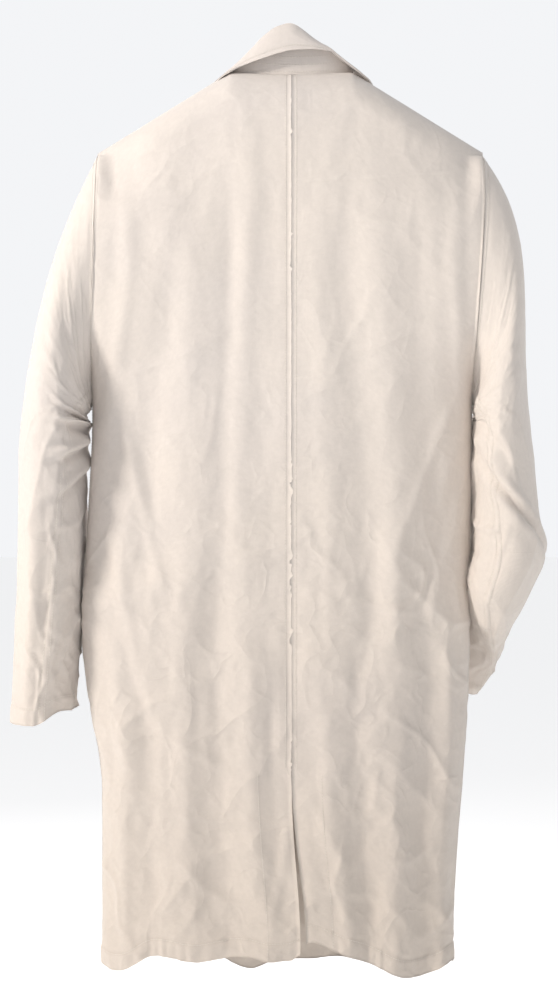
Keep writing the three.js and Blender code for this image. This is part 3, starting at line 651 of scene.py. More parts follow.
def back_panel(side):
    u, v = grid(120, 400)
    shoulder = HALF_WIDTH[side]["shoulder"] * np.sin(u * math.pi / 2) ** (2 / SECTION_POWER)
    top = shoulder_z(shoulder)
    z = top - (top - HEM_Z) * (1 - v) ** ROW_TAPER
    slit = mix(-2.0, 3.4, np.clip((VENT_TOP_Z + 40.0 - z) / (VENT_LENGTH + 40.0), 0.0, 1.0) ** 0.7)
    ax = around(half_width(side, z), slit, u)
    points = body_point(side, 1, ax, z)
    cloth = Cloth(points, (0, 1, 0))
    x = points[..., 0]
    length = half_width(side, z) * u
    to_side = half_width(side, z) * (1 - u)
    to_top = top - z
    relief = drape(1, x, z) + yoke_line(x, z)
    open_edge = z < VENT_TOP_Z
    keep = edge_fade(to_side, 26.0) * edge_fade(to_top, 30.0)
    relief = relief * keep + seam_ridge(to_side, z) * np.where(z > ARM_BOTTOM, 0.8, 1.0)
    relief += 0.22 * seam_ridge(length - 1.5, z + 400) * np.where(open_edge, 0.0, 1.0)
    # The two halves cross in a shallow groove at the centre seam.
    relief -= 0.3 * np.clip((0.6 - ax) / 2.6, 0.0, 1.0)
    turned = np.where(open_edge, bell(length, 3.0) * -1.2, 0.0)
    slit_pucker = bell(z - SLIT_Z, SLIT_SPREAD) * bell(to_side, 14)
    relief += turned + SLIT_SWELL * slit_pucker * pucker(z, 13.0, 91)
    relief += hem_relief(z - HEM_Z, x) * np.where(z - HEM_Z < HEM_BAND, 1.0, 0.0)
    # A soft diagonal fold runs off the left edge of the vent.
    if side == "left":
        relief += fold(x, z, (0, -870), (34, -1000), 7, 3.0)
    cloth.points = shape_hem(1, points + cloth.normals * relief[..., None])
    cloth.relief(np.zeros_like(x))
    rows = STITCH_ROWS
    levels = top[0, 0] - (top[0, 0] - HEM_Z) * (1 - rows) ** ROW_TAPER
    seam = rows[levels > VENT_TOP_Z]
    cloth.stitch_down(0.0105, seam)
    hem_v = 1 - ((0 - (HEM_Z + HEM_STITCH)) / (0 - HEM_Z)) ** (1 / ROW_TAPER)
    cloth.stitch_across(hem_v, np.linspace(0.002, 0.998, 240))
    cloth.stitch_down(0.974, rows)
    vent = rows[levels < VENT_TOP_Z - 4]
    cloth.stitch_down(0.078, vent)
    piece = cloth.build(f"back_panel_{side}")
    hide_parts(f"back_{side}", f"vent_flap_{side}", f"vent_facing_{side}")
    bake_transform(piece)
    return piece


def front_end(side, z):
    """How far a front's rows reach: to the shoulder line at the top, and to the side below."""
    at_shoulder = NECK_HALF + (NECK_RISE - z) / SHOULDER_SLOPE
    return np.where(z > ARM_TOP + 3, at_shoulder, half_width(side, z))


def front_panel(side):
    u, v = grid(130, 360)
    z = mix(HEM_Z, FOLD_TOP_Z, v)
    end = np.minimum(front_end(side, z), half_width(side, z))
    inner = front_edge(side, z)
    ax = around(end, inner, u)
    points = body_point(side, -1, ax, z)
    cloth = Cloth(points, (0, -1, 0))
    x = points[..., 0]
    from_edge = ax - inner
    keep = edge_fade(end * (1 - u), 26.0) * edge_fade(FOLD_TOP_Z + 6 - z, 20.0)
    side_share = end * (1 - u)
    relief = drape(-1, x, z) * keep * mix(0.4, 1.0, smooth(from_edge / 40.0))
    relief += seam_ridge(side_share, z) * 0.9
    edge_line = bell(from_edge - 5, 1.5) * -0.5
    relief += smooth((58 - from_edge) / 3) * 0.5 + edge_line
    slit_pucker = bell(z - SLIT_Z, SLIT_SPREAD) * bell(side_share, 14)
    relief += SLIT_SWELL * slit_pucker * pucker(z, 13.0, 91)
    relief += hem_relief(z - HEM_Z, x) * np.where(z - HEM_Z < HEM_BAND, 1.0, 0.0)
    cloth.points = shape_hem(-1, points + cloth.normals * relief[..., None])
    cloth.relief(np.zeros_like(x))
    cloth.stitch_down(0.012, STITCH_ROWS)
    hem_v = HEM_STITCH / (FOLD_TOP_Z - HEM_Z)
    cloth.stitch_across(hem_v, np.linspace(0.002, 0.998, 260))
    cloth.stitch_down(0.976, STITCH_ROWS)
    if side == "left":
        buttonholes(cloth)
    piece = cloth.build(f"front_panel_{side}")
    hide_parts(f"front_side_{side}", f"front_flap_{side}", f"front_facing_{side}",
                f"slit_facing_{side}")
    # The direction of the fold line, which leans out a little towards the shoulder.
    lean = np.array([FOLD_TOP_X - FOLD_BOTTOM_X, FOLD_TOP_Z - HEM_Z])
    lean = lean / np.linalg.norm(lean)
    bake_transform(piece)
    return piece


def buttonholes(cloth):
    """Bound slots in the wearer's left front, one for each button."""
    for k in range(BUTTON_COUNT):
        z = BUTTON_TOP_Z - BUTTON_PITCH * k
        v = (z - HEM_Z) / (FOLD_TOP_Z - HEM_Z)
        for offset in (-0.0016, 0.0016):
            for j in range(13):
                u0 = 0.055 + 0.0048 * j
                cloth.stitch(np.array([u0, u0]), np.array([v + offset * 0.2, v + offset * 1.6]),
                             pitch=1.1, length=1.7)


def front_top(side):
    """The front beside the neck, above the fold line."""
    u, v = grid(60, 44)
    z = mix(FOLD_TOP_Z, NECK_RISE - 0.3, v**0.8)
    end = front_end(side, z)
    ax = around(end, np.minimum(ROLL_TOP_X, end - 0.2), u)
    points = body_point(side, -1, ax, z)
    cloth = Cloth(points, (0, -1, 0))
    piece = cloth.build(f"front_top_{side}")
    settle(piece, "torso", "shell", f"front_neck_{side}")
    return piece


# ---- Lapels and collar -------------------------------------------------------------------

LAPEL = {"gorge_z": -97.0, "tip_x": 101.0, "tip_z": -150.0}
COLLAR_END = {"top_z": -62.0, "bottom_z": -92.0, "point_x": 97.0, "point_z": -126.0, "top_x": 105.0}
LEAF_OUTWARD = np.array([0, 1, 0.3])
LEAF = {"roll": 74.7, "roll_back": 33.7, "edge": 98.0, "edge_back": 47.0}


def lifted(side, ax, z, height):
    """Points of the front, lifted off its inside face."""
    step = 1.5
    here = body_point(side, -1, ax, z)
    across = body_point(side, -1, ax + step, z) - body_point(side, -1, ax - step, z)
    along = body_point(side, -1, ax, z - step) - body_point(side, -1, ax, z - 2 * step)
    normal = np.cross(across, along)
    normal /= np.maximum(np.linalg.norm(normal, axis=-1, keepdims=True), 1e-9)
    normal *= np.where(normal[..., 1:2] > 0, -1.0, 1.0)
    return here + normal * np.asarray(height)[..., None]


def lapel(side):
    u, v = grid(46, 90)
    foot = float(roll_x(side, BREAK_Z))
    inner_z = mix(BREAK_Z + 1.0, LAPEL["gorge_z"], v)
    inner_x = roll_x(side, inner_z)
    reach = np.sin(np.minimum(v * 1.15, 1.0) * math.pi / 2)
    outer_x = mix(foot + 3.0, LAPEL["tip_x"], reach)
    outer_z = mix(BREAK_Z + 4.0, LAPEL["tip_z"], v)
    ax, z = mix(inner_x, outer_x, u), mix(inner_z, outer_z, u)
    rolled = np.sqrt(np.clip(u * (outer_x - inner_x) / 7.0, 0.0, 1.0))
    sag = 1.2 * np.sin(u * math.pi) * v
    cloth = Cloth(lifted(side, ax, z, 0.9 + 2.3 * rolled + sag), (0, -1, 0))
    rim = np.minimum((1 - u) * (outer_x - inner_x), (1 - v) * 180.0)
    line = bell(rim - 5.5, 1.3)
    cloth.relief(0.5 * noise(ax / 16, z / 30, 95) - 0.45 * line + 0.25 * smooth((5 - rim) / 2))
    rows = np.linspace(0.01, 0.975, 160)
    cloth.stitch(1 - 5.5 / np.maximum(np.interp(rows, v[0], (outer_x - inner_x)[0]), 12.0), rows)
    cloth.stitch_across(0.972, np.linspace(0.05, 0.93, 60))
    piece = cloth.build(f"lapel_{side}_cloth")
    settle(piece, f"lapel_{side}", "shell", f"lapel_{side}")


def collar_end(side):
    u, v = grid(30, 30)
    inner_z = mix(COLLAR_END["bottom_z"], COLLAR_END["top_z"] + 1.0, v)
    inner_x = roll_x(side, inner_z)
    outer_x = mix(COLLAR_END["point_x"], COLLAR_END["top_x"], v)
    outer_z = mix(COLLAR_END["point_z"], COLLAR_END["top_z"] + 1.0, v)
    ax, z = mix(inner_x, outer_x, u), mix(inner_z, outer_z, u)
    rolled = np.sqrt(np.clip(u * 38.0 / 7.0, 0.0, 1.0))
    cloth = Cloth(lifted(side, ax, z, 1.2 + 2.3 * rolled + 1.0 * np.sin(u * math.pi)), (0, -1, 0))
    rim = np.minimum((1 - u) * 36.0, v * 50.0)
    cloth.relief(0.35 * noise(ax / 14, z / 20, 97) - 0.45 * bell(rim - 5.5, 1.3))
    steps = np.linspace(0.1, 0.99, 50)
    cloth.stitch_down(1 - 5.5 / 36.0, steps)
    cloth.stitch_across(0.11, np.linspace(0.05, 0.84, 50))
    piece = cloth.build(f"collar_end_{side}_cloth")
    settle(piece, f"lapel_{side}", "shell", f"collar_end_{side}")


def roll_height(x):
    """The collar stands up in an uneven peak: steep on the left, long on the right."""
    at = (-75, -52, -26, -13, -4, 4, 20, 36, 49, 62, 75)
    height = (12, 26, 44, 54, 60, 61, 56, 44, 30, 15, 6)
    return sum(np.interp(x + d, at, height) for d in (-4, -2, 0, 2, 4)) / 5.0


def leaf_edge_height(x):
    at = (-98, -75, -56, -50, -28, 0, 18, 42, 66, 82, 98)
    height = (-5, 9, 21, 26, 27.5, 26, 21.6, 14.4, 7.2, 0, -10)
    return np.interp(x, at, height)


def leaf_at(angle, v):
    """The back of the collar's leaf: it falls from the peaked roll to its lower edge."""
    x = LEAF["roll"] * np.sin(angle)
    roll = np.stack([x, LEAF["roll_back"] * np.cos(angle) + SIDE_SEAM_Y, roll_height(x)], -1)
    edge_x = LEAF["edge"] * np.sin(angle)
    back = LEAF["edge_back"] * np.cos(angle) + SIDE_SEAM_Y
    edge = np.stack([edge_x, back, leaf_edge_height(edge_x)], -1)
    bow = np.sin(np.clip(v, 0, 1) * math.pi)[..., None] * np.array([0.0, 1.0, 0.35])
    return mix(roll, edge, v[..., None]) + bow * (1.0 + 2.6 * np.cos(angle))[..., None]


def collar_leaf():
    """One leaf round the neck: the back turns up, and the two front runs stay down."""
    back, run, depth = 90, 34, 30
    t = np.linspace(0, 1, depth)
    angle = np.linspace(-math.pi / 2, math.pi / 2, back)
    a, v = np.meshgrid(angle, t, indexing="ij")
    middle = leaf_at(a, v)
    fronts = {}
    for side, at in (("left", math.pi / 2), ("right", -math.pi / 2)):
        f, w = np.meshgrid(np.linspace(0, 1, run + 1)[1:], t, indexing="ij")
        roll_z = mix(float(roll_height(SIGN[side] * LEAF["roll"])), -60.0, f**1.4)
        ridge = float(leaf_edge_height(SIGN[side] * LEAF["edge"]))
        edge_z = mix(ridge, -61.0, f**1.4)
        edge_x = mix(97.0, 105.0, f)
        ax, z = mix(74.5, edge_x, w), mix(roll_z, edge_z, w)
        z = np.minimum(z, shoulder_z(ax) - 0.3)
        resting = lifted(side, ax, z, 1.6 + 1.8 * np.sqrt(w) + np.sin(w * math.pi))
        start = leaf_at(np.full_like(w, at), w)
        fronts[side] = mix(start, resting, smooth(f / 0.45)[..., None])
    points = np.concatenate([fronts["right"][::-1], middle, fronts["left"]], axis=0)
    cloth = Cloth(points, "centre", thickness=LEAF_THICK)
    count = points.shape[0]
    if np.sum(cloth.normals[count // 2] * LEAF_OUTWARD) < 0:
        cloth.normals, cloth.sign = -cloth.normals, -cloth.sign
    index, w = np.meshgrid(np.arange(count), t, indexing="ij")
    rim = (1 - w) * 40.0
    line = bell(rim - 6.0, 1.4)
    height = 0.5 * noise(index / 9.0, w * 2.4, 101) + 0.25 * noise(index / 3.0, w * 5, 103) - 0.5 * line
    cloth.points = cloth.points + cloth.normals * (height * smooth(w / 0.2))[..., None]
    cloth.normals, cloth.sign = grid_normals(cloth.points), 1.0
    if np.sum(cloth.normals[count // 2] * LEAF_OUTWARD) < 0:
        cloth.normals, cloth.sign = -cloth.normals, -1.0
    cloth.stitch_across(1 - 6.0 / 40.0, np.linspace(0.004, 0.996, 300))
    piece = cloth.build("collar_leaf_cloth")
    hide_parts("collar_leaf", "under_collar")
    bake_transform(piece)


def collar_stand():
    u, v = grid(110, 22)
    angle = mix(-math.pi / 2, math.pi / 2, u)
    low_x = NECK_HALF * np.sin(angle)
    low = np.stack([low_x, NECK_BACK * np.cos(angle) + SIDE_SEAM_Y, shoulder_z(low_x) + 0.2], -1)
    x = (LEAF["roll"] - 0.6) * np.sin(angle)
    peak = np.maximum(roll_height(x) - 0.4, low[..., 2] + 2.0)
    high = np.stack([x, (LEAF["roll_back"] - 0.5) * np.cos(angle) + SIDE_SEAM_Y, peak], -1)
    points = mix(low, high, v[..., None])
    cloth = Cloth(points, (0, 1, 0), thickness=STAND_THICK)
    rim = v * np.maximum(high[..., 2] - low[..., 2], 1)
    height = 0.4 * noise(low_x / 18, rim / 20, 107) + 0.5 * smooth((3.0 - rim) / 1.0)
    cloth.relief(height * np.cos(angle) * smooth((1 - v) / 0.15))
    for at in (3.2, 12.0, 21.0):
        level = np.clip(at / np.maximum(high[:, 0, 2] - low[:, 0, 2], 6.0), 0, 0.9)
        inside = np.linspace(0.12, 0.88, 220)
        cloth.stitch(inside, np.interp(inside, u[:, 0], level))
    piece = cloth.build("collar_stand_cloth")
    settle(piece, "torso", "shell", "collar_stand")


# ---- Sleeves -----------------------------------------------------------------------------

SLEEVES = {
    "left": {
        "upper": ((284, -6, -412), 39, 84),
        "elbow": ((286, -8, -440), 39, 80),
        "forearm": ((290, -14, -600), 39, 68),
        "cuff": ((301, -24, -772), 38, 57),
        "bend": 0.0,
        "join": 0.60,
    },
    "right": {
        "upper": ((-252, -8, -412), 34, 84),
        "elbow": ((-258, -14, -566), 41, 76),
        "forearm": ((-222, -92, -656), 28, 66),
        "cuff": ((-186, -124, -712), 24, 58),
        "bend": 40.0,
        "join": 0.66,
    },
}
SLEEVE_GIRTH, SEAM_TOP_ANGLE, SEAM_CUFF_ANGLE = 330.0, 150.0, 92.0
CUFF_STITCH, CUFF_RISE = 20.0, 16.0
# Each drag fold inside the left elbow: where it starts, its height and its slant.
ELBOW_FOLDS = ((300, 9.0, 0.40), (331, 11.0, 0.12), (362, 10.0, -0.25), (398, 7.0, -0.45))
# The deep way of the right cuff, and the way that the right elbow bends.
FLAT_DIRECTION = np.array([-0.9, 0.22, -0.42])
BEND_TOWARDS = np.array([0.73, -0.683, 0.0])


def unit(v):
    return v / np.linalg.norm(v)


def turned(v, axis, degrees):
    a, k = math.radians(degrees), unit(axis)
    return v * math.cos(a) + np.cross(k, v) * math.sin(a) + k * np.dot(k, v) * (1 - math.cos(a))


def sleeve_rings(side):
    """Centre, sideways half and deep half of each cross-section below the underarm."""
    plan = SLEEVES[side]
    out, deep = np.array([SIGN[side], 0.0, 0.0]), np.array([0.0, 1.0, 0.0])

    def ring(key, a=out, b=deep, centre=None):
        c, half_out, half_deep = plan[key]
        c = np.array(c, float) if centre is None else centre
        return [c, a * half_out, b * half_deep]

    if plan["bend"] == 0:
        return [ring("upper"), ring("elbow"), ring("forearm"), ring("cuff")]
    towards = unit(BEND_TOWARDS)
    centre, half_out, half_deep = plan["elbow"]
    hinge = np.array(centre, float) + towards * math.hypot(half_out * towards[0], half_deep * towards[1])
    axis = np.cross(towards, [0, 0, 1])
    low_centre = hinge + turned(np.array(centre, float) - hinge, axis, plan["bend"])
    low_out, low_deep = turned(out, axis, plan["bend"]), turned(deep, axis, plan["bend"])
    run = unit(np.array(plan["cuff"][0], float) - low_centre)
    flat = unit(FLAT_DIRECTION - run * np.dot(FLAT_DIRECTION, run))
    side_on = unit(np.cross(flat, run))
    side_on = -side_on if np.dot(side_on, low_out) < 0 else side_on
    arm_out = unit(side_on + low_out)
    arm_deep = flat + low_deep
    arm_deep = unit(arm_deep - arm_out * np.dot(arm_deep, arm_out))
    return [
        ring("upper"),
        ring("elbow"),
        ring("elbow", low_out, low_deep, low_centre),
        ring("forearm", arm_out, arm_deep),
        ring("cuff", side_on, flat),
    ]


def section_at(ring, angle):
    cos, sin = np.cos(angle)[..., None], np.sin(angle)[..., None]
    # The cloth is a little boxier than an ellipse.
    boxy = (np.abs(cos) ** 2.3 + np.abs(sin) ** 2.3) ** (-1 / 2.3)
    boxy = mix(1.0, boxy, 0.35)
    return ring[0] + ring[1] * cos * boxy + ring[2] * sin * boxy


def armhole_at(side, angle):
    middle, radius = (ARM_TOP + ARM_BOTTOM) / 2, (ARM_TOP - ARM_BOTTOM) / 2
    z = middle + radius * np.cos(angle)
    x = half_width(side, z) + 0.6
    back, front = armhole_depth(1, z), -armhole_depth(-1, z)
    y = np.where(np.sin(angle) > 0, back, front) * smooth(np.abs(np.sin(angle)) / 0.25)
    return np.stack([SIGN[side] * x, SIDE_SEAM_Y + y, z], axis=-1)


def hermite(p0, p1, m0, m1, t):
    t2, t3 = t * t, t * t * t
    return ((2 * t3 - 3 * t2 + 1) * p0 + (t3 - 2 * t2 + t) * m0
            + (-2 * t3 + 3 * t2) * p1 + (t3 - t2) * m1)


def sleeve_surface(side, angles, rows_cap, rows_step):
    """Rows of points from the armhole to the cuff."""
    rings = sleeve_rings(side)
    start, end = armhole_at(side, angles), section_at(rings[0], angles)
    reach = np.linalg.norm(end - start, axis=-1, keepdims=True)
    lead = start + np.array([0.15 if side == "left" else -0.22, 0.0, -0.28]) * reach
    tail = end + np.array([-SIGN[side] * 0.05, 0.0, 0.42]) * reach
    rows = []
    for t in np.linspace(0, 1, rows_cap, endpoint=False):
        s = 1 - t
        rows.append(s**3 * start + 3 * s * s * t * lead + 3 * s * t * t * tail + t**3 * end)
    loops = [section_at(r, angles) for r in rings]
    slopes = []
    for k, loop in enumerate(loops):
        if k == 0:
            slopes.append(loops[1] - loop)
        elif k == len(loops) - 1:
            slopes.append(loop - loops[k - 1])
        else:
            before, after = loop - loops[k - 1], loops[k + 1] - loop
            short = np.minimum(np.linalg.norm(before, axis=-1), np.linalg.norm(after, axis=-1))
            whole = before + after
            size = np.maximum(np.linalg.norm(whole, axis=-1), 1e-6)
            slopes.append(whole / size[..., None] * short[..., None])
    for k in range(len(loops) - 1):
        gap = np.linalg.norm(rings[k + 1][0] - rings[k][0])
        steps = max(6, int(gap / rows_step))
        for t in np.arange(steps) / steps:
            rows.append(hermite(loops[k], loops[k + 1], slopes[k], slopes[k + 1], t))
    rows.append(loops[-1])
    return np.stack(rows, axis=1)


def sleeve_relief(side, angle, along, total):
    """Drag folds below the shoulder, bunching at the elbow and long twisted folds."""
    s = along / total
    around_mm = angle / (2 * math.pi) * 380.0
    wrap = np.abs(np.sin(angle / 2))
    ends = smooth(along / 26.0)
    relief = 3.4 * noise(around_mm / 58 + s * 1.5, along / 170, 111) * wrap
    relief += 2.0 * noise(around_mm / 27 - s, along / 70, 113) * wrap
    relief += (1.6 + 2.4 * smooth((s - 0.3) / 0.3)) * crumple(around_mm, along, 34, 115) * wrap
    relief += (0.8 + 0.9 * s) * crumple(around_mm, along, 16, 117) * wrap
    degrees = np.degrees(angle) % 360
    if side == "left":
        inner = bell(degrees - 150, 42)
        for at, size, lean in ELBOW_FOLDS:
            line = along - at - lean * (degrees - SEAM_TOP_ANGLE)
            relief += size * inner * (bell(line, 7.0) - 0.55 * bell(line - 12, 6.0))
        relief += 3.4 * bell(degrees - 60 - 14 * s, 13) * smooth((s - 0.45) / 0.2)
        relief -= 3.0 * bell(degrees - 92, 14) * smooth((s - 0.5) / 0.2)
    else:
        # The elbow folds along a line that drops from the body to the outer point.
        line = along - 375.0 - 0.85 * (150.0 - degrees)
        crease = -7.0 * bell(line, 6.0) + 5.0 * bell(line + 15, 9.0)
        crease = crease + 3.0 * bell(line - 17, 9.0)
        relief += crease * bell(degrees - 85, 62)
        relief -= 3.5 * bell(line + 46, 10.0) * bell(degrees - 120, 40)
        tip = bell(along - 482, 26.0) * np.cos(np.radians(degrees - 10)).clip(0)
        relief += 7.0 * tip
    return relief * ends


def cuff_hem(height_above, around_mm):
    band = smooth((22.0 - height_above) / 2.0)
    return band * (0.7 + 0.4 * noise(around_mm / 6.0, height_above / 20, 121))


def sleeve_seam(share):
    """The back seam's place round the sleeve, in degrees, at a share of its length."""
    return mix(SEAM_TOP_ANGLE, SEAM_CUFF_ANGLE, smooth(share))


def sleeve(side):
    steps = 132
    angle = np.linspace(0, 2 * math.pi, steps, endpoint=False)
    points = sleeve_surface(side, angle, 74, 3.2)
    rows = points.shape[1]
    centres = points.mean(axis=0)
    run = np.linalg.norm(np.diff(points[0], axis=0), axis=-1)
    along = np.concatenate([[0.0], np.cumsum(run)])
    a, t = np.meshgrid(angle, along, indexing="ij")
    whole = Cloth(points, "centre", closed=True)
    whole.face(points - centres)
    total = along[-1]
    degrees = np.degrees(a)
    seam_mm = (degrees - sleeve_seam(t / total)) / 360 * SLEEVE_GIRTH
    felled = smooth((9 - seam_mm) / 1.2) * smooth(seam_mm / 1.0)
    relief = sleeve_relief(side, a, t, total)
    relief += 0.7 * felled - 0.6 * bell(seam_mm, 1.3)
    relief += cuff_hem(total - t, a / (2 * math.pi) * 300)
    relief -= 0.5 * bell(total - t - CUFF_STITCH, 1.3)
    relief += (0.5 + 0.45 * pucker(a * 45, 7.0, 123)) * smooth((7 - t) / 2)
    moved = points + whole.normals * relief[..., None]
    if side == "left":
        # The inner half of the cuff hangs a little higher than the outer half.
        rise = smooth((t - total + 90.0) / 90.0) * smooth((306.0 - moved[..., 0]) / 34.0)
        moved[..., 2] += CUFF_RISE * rise
    join = int(rows * SLEEVES[side]["join"])
    # The two pieces overlap a little, and each dips under the other towards its end.
    outward = outward_normals(moved, "centre", True)[0]
    lap = np.arange(rows)[None, :, None] - join
    spans = {
        "upper": (moved - 0.3 * outward * np.clip(lap / 3.0, 0, 1))[:, : join + 4],
        "lower": (moved - 0.3 * outward * np.clip(-lap / 3.0, 0, 1))[:, join - 3:],
    }
    for part, span in spans.items():
        cloth = Cloth(span, "centre", closed=True)
        cloth.face(span - span.mean(axis=0))
        first = 0 if part == "upper" else join - 3
        count = span.shape[1]
        v = np.linspace(0.004, 0.996, count * 2)
        run = np.interp(v, np.linspace(0, 1, count), along[first:first + count])
        at = sleeve_seam(run / total)
        for beside in (0.8, 9.2):
            cloth.stitch((at + beside / SLEEVE_GIRTH * 360) / 360 * steps / (steps - 1), v)
        ring = np.linspace(0.0, 0.999, 300)
        if part == "lower":
            level = np.interp(total - CUFF_STITCH, along[first:], np.linspace(0, 1, count))
        else:
            level = np.interp(7.5, along, np.linspace(0, 1, rows)) * (rows - 1) / (count - 1)
        cloth.stitch_across(level, ring)
        piece = cloth.build(f"sleeve_{part}_{side}_cloth")
        nodes = [f"sleeve_top_{part}_{side}", f"sleeve_under_{part}_{side}"]
        if part == "lower":
            nodes.append(f"cuff_hem_{side}")
        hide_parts(*nodes)
        if part == "upper":
            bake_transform(piece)
        else:
            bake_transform(piece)


# ---- Pockets, lining and small pieces ----------------------------------------------------


def patch_pocket(name, side, inner, outer, top, bottom, bulge, flat):
    """A patch stitched on three sides; inner and outer give its edges at a height."""
    u, v = grid(60, 60)
    z = mix(bottom, top, v)
    end = half_width(side, z)
    q = SECTION_POWER / 2

    def angle_of(ax):
        return np.arcsin(np.clip(ax / end, 0, 1) ** q)

    turn = mix(angle_of(inner(z)), angle_of(outer(z)), u)
    ax = end * np.sin(turn) ** (1 / q)
    rim = np.minimum(np.minimum(u, 1 - u) * flat[0], v * flat[1]) * 1000
    height = 1.7 + bulge * np.sin(math.pi * u) ** 0.8 * v**0.7
    height = height + drape(-1, SIGN[side] * ax, z) * 0.5
    cloth = Cloth(lifted(side, ax, z, height), (0, -1, 0))
    hem = (1 - v) * flat[1] * 1000
    fine = 0.5 * noise(u * 7, v * 6, 131) + 0.5 * smooth((26 - hem) / 1.5)
    fine = fine - 0.45 * bell(rim - 3, 1.2) - 0.45 * bell(hem - 25, 1.2)
    cloth.relief(fine)
    steps = np.linspace(0.015, 0.985, 120)
    for at in (0.003 / flat[0], 1 - 0.003 / flat[0]):
        cloth.stitch_down(at, steps)
    cloth.stitch_across(0.003 / flat[1], steps)
    cloth.stitch_across(1 - 0.025 / flat[1], steps)
    piece = cloth.build(f"{name}_cloth")
    settle(piece, "torso", "shell", name)


def pockets():
    chest, hip = POCKETS["chest"], POCKETS["hip"]
    patch_pocket("chest_pocket", "left", lambda z: np.full_like(z, chest["inner"]),
                 lambda z: np.full_like(z, chest["outer"]),
                 chest["top"], chest["bottom"], chest["bulge"], (0.105, 0.142))
    for side, share, width in (("left", 0.985, 0.17), ("right", 0.93, 0.125)):
        patch_pocket(f"hip_pocket_{side}", side, lambda z: fold_x(z) + hip["from_fold"],
                     lambda z, s=side, k=share: half_width(s, z) * k,
                     hip["top"], hip["bottom"], hip["bulge"], (width, 0.192))


def yoke_lining():
    u, v = grid(110, 40)
    x = mix(-YOKE_HALF, YOKE_HALF, u)
    bottom = yoke_edge(x)
    top = np.maximum(shoulder_z(x) - 8.0, bottom + 6.0)
    z = mix(bottom, top, v)
    left, right = (body_point(s, 1, np.abs(x), z) for s in ("left", "right"))
    points = np.where((x > 0)[..., None], left, right)
    cloth = Cloth(points, (0, 1, 0), thickness=LINING_THICK)
    cloth.relief(-2.2 + drape(1, x, z) * 0.4 * np.sin(u * math.pi))
    cloth.stitch_across(0.05, np.linspace(0.01, 0.99, 200))
    piece = cloth.build("yoke_lining_cloth", LINING)
    settle(piece, "torso", "facing", "yoke_lining")


def neck_label():
    low, high = (np.array(c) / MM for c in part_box("neck_label"))
    u, v = grid(30, 16)
    x, z = mix(low[0], high[0], u), mix(low[2], high[2], v)
    y = high[1] - 0.2 + 0.5 * np.sin(u * math.pi) + 0.25 * noise(u * 4, v * 3, 141)
    cloth = Cloth(np.stack([x, y, z], -1), (0, -1, 0), thickness=0.4)
    steps = np.linspace(0.04, 0.96, 40)
    for at in (0.05, 0.95):
        cloth.stitch_down(at, steps, pitch=2.2, length=1.5)
        cloth.stitch_across(at, steps, pitch=2.2, length=1.5)
    piece = cloth.build("neck_label_cloth", TAPE)
    settle(piece, "torso", "tape", "neck_label")


def hanger_loop():
    """A narrow tape sewn at both ends; it falls in a shallow curve."""
    low, high = (np.array(c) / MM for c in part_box("hanger_loop"))
    half, drop, tape = (high[0] - low[0]) / 2, high[2] - low[2], 5.0
    t, w = np.meshgrid(np.linspace(-1, 1, 90), np.linspace(-0.5, 0.5, 8), indexing="ij")
    x = (half - tape / 2) * t
    z = high[2] - (drop - tape / 2) * (1 - np.abs(t) ** LOOP_FLATNESS)
    dx, dz = np.gradient(x, axis=0), np.gradient(z, axis=0)
    size = np.hypot(dx, dz)
    x, z = x - dz / size * w * tape, z + dx / size * w * tape
    z = np.minimum(z, high[2])
    y = (low[1] + high[1]) / 2 + 0.3 * np.sin(t * 9)
    cloth = Cloth(np.stack([x, y, z], -1), (0, -1, 0), thickness=TAPE_THICK)
    piece = cloth.build("hanger_loop_tape", TAPE)
    settle(piece, "hanger_loop", "tape", "hanger_loop")


def button_mesh():
    """A dished resin button with a raised rim and four holes."""
    profile = [(0.0, 1.9), (5.2, 1.9), (6.3, 2.2), (7.0, 2.8), (8.0, 3.0), (9.0, 2.7), (9.5, 1.9),
               (9.4, 1.0), (8.4, 0.25), (6.0, 0.0), (0.0, 0.0)]
    steps = 56
    verts, faces = [], []
    for r, h in profile:
        for k in range(steps):
            a = 2 * math.pi * k / steps
            verts.append((r * math.cos(a) * MM, r * math.sin(a) * MM, h * MM))
    for i in range(len(profile) - 1):
        for k in range(steps):
            a, b = i * steps + k, i * steps + (k + 1) % steps
            faces.append((a, a + steps, b + steps, b))
    mesh = bpy.data.meshes.new("button_shape")
    mesh.from_pydata(verts, [], faces)
    disc = added("button_shape", mesh)
    weld = disc.modifiers.new("weld", "WELD")
    weld.merge_threshold = 0.00001
    cutters = []
    for x in (-BUTTON_HOLE, BUTTON_HOLE):
        for y in (-BUTTON_HOLE, BUTTON_HOLE):
            bpy.ops.mesh.primitive_cylinder_add(vertices=20, radius=1.1 * MM, depth=0.01,
                                                location=(x * MM, y * MM, 0.0015))
            cutters.append(bpy.context.object)
            cut = disc.modifiers.new("hole", "BOOLEAN")
            cut.operation, cut.solver, cut.object = "DIFFERENCE", "EXACT", cutters[-1]
    bpy.context.view_layer.update()
    shaped = bpy.data.meshes.new_from_object(disc.evaluated_get(bpy.context.evaluated_depsgraph_get()))
    for cutter in cutters:
        bpy.data.objects.remove(cutter, do_unlink=True)
    bpy.data.objects.remove(disc, do_unlink=True)
    shaped.materials.clear()
    shaped.materials.append(BUTTON)
    for polygon in shaped.polygons:
        polygon.use_smooth = len(polygon.vertices) < 6
    return shaped


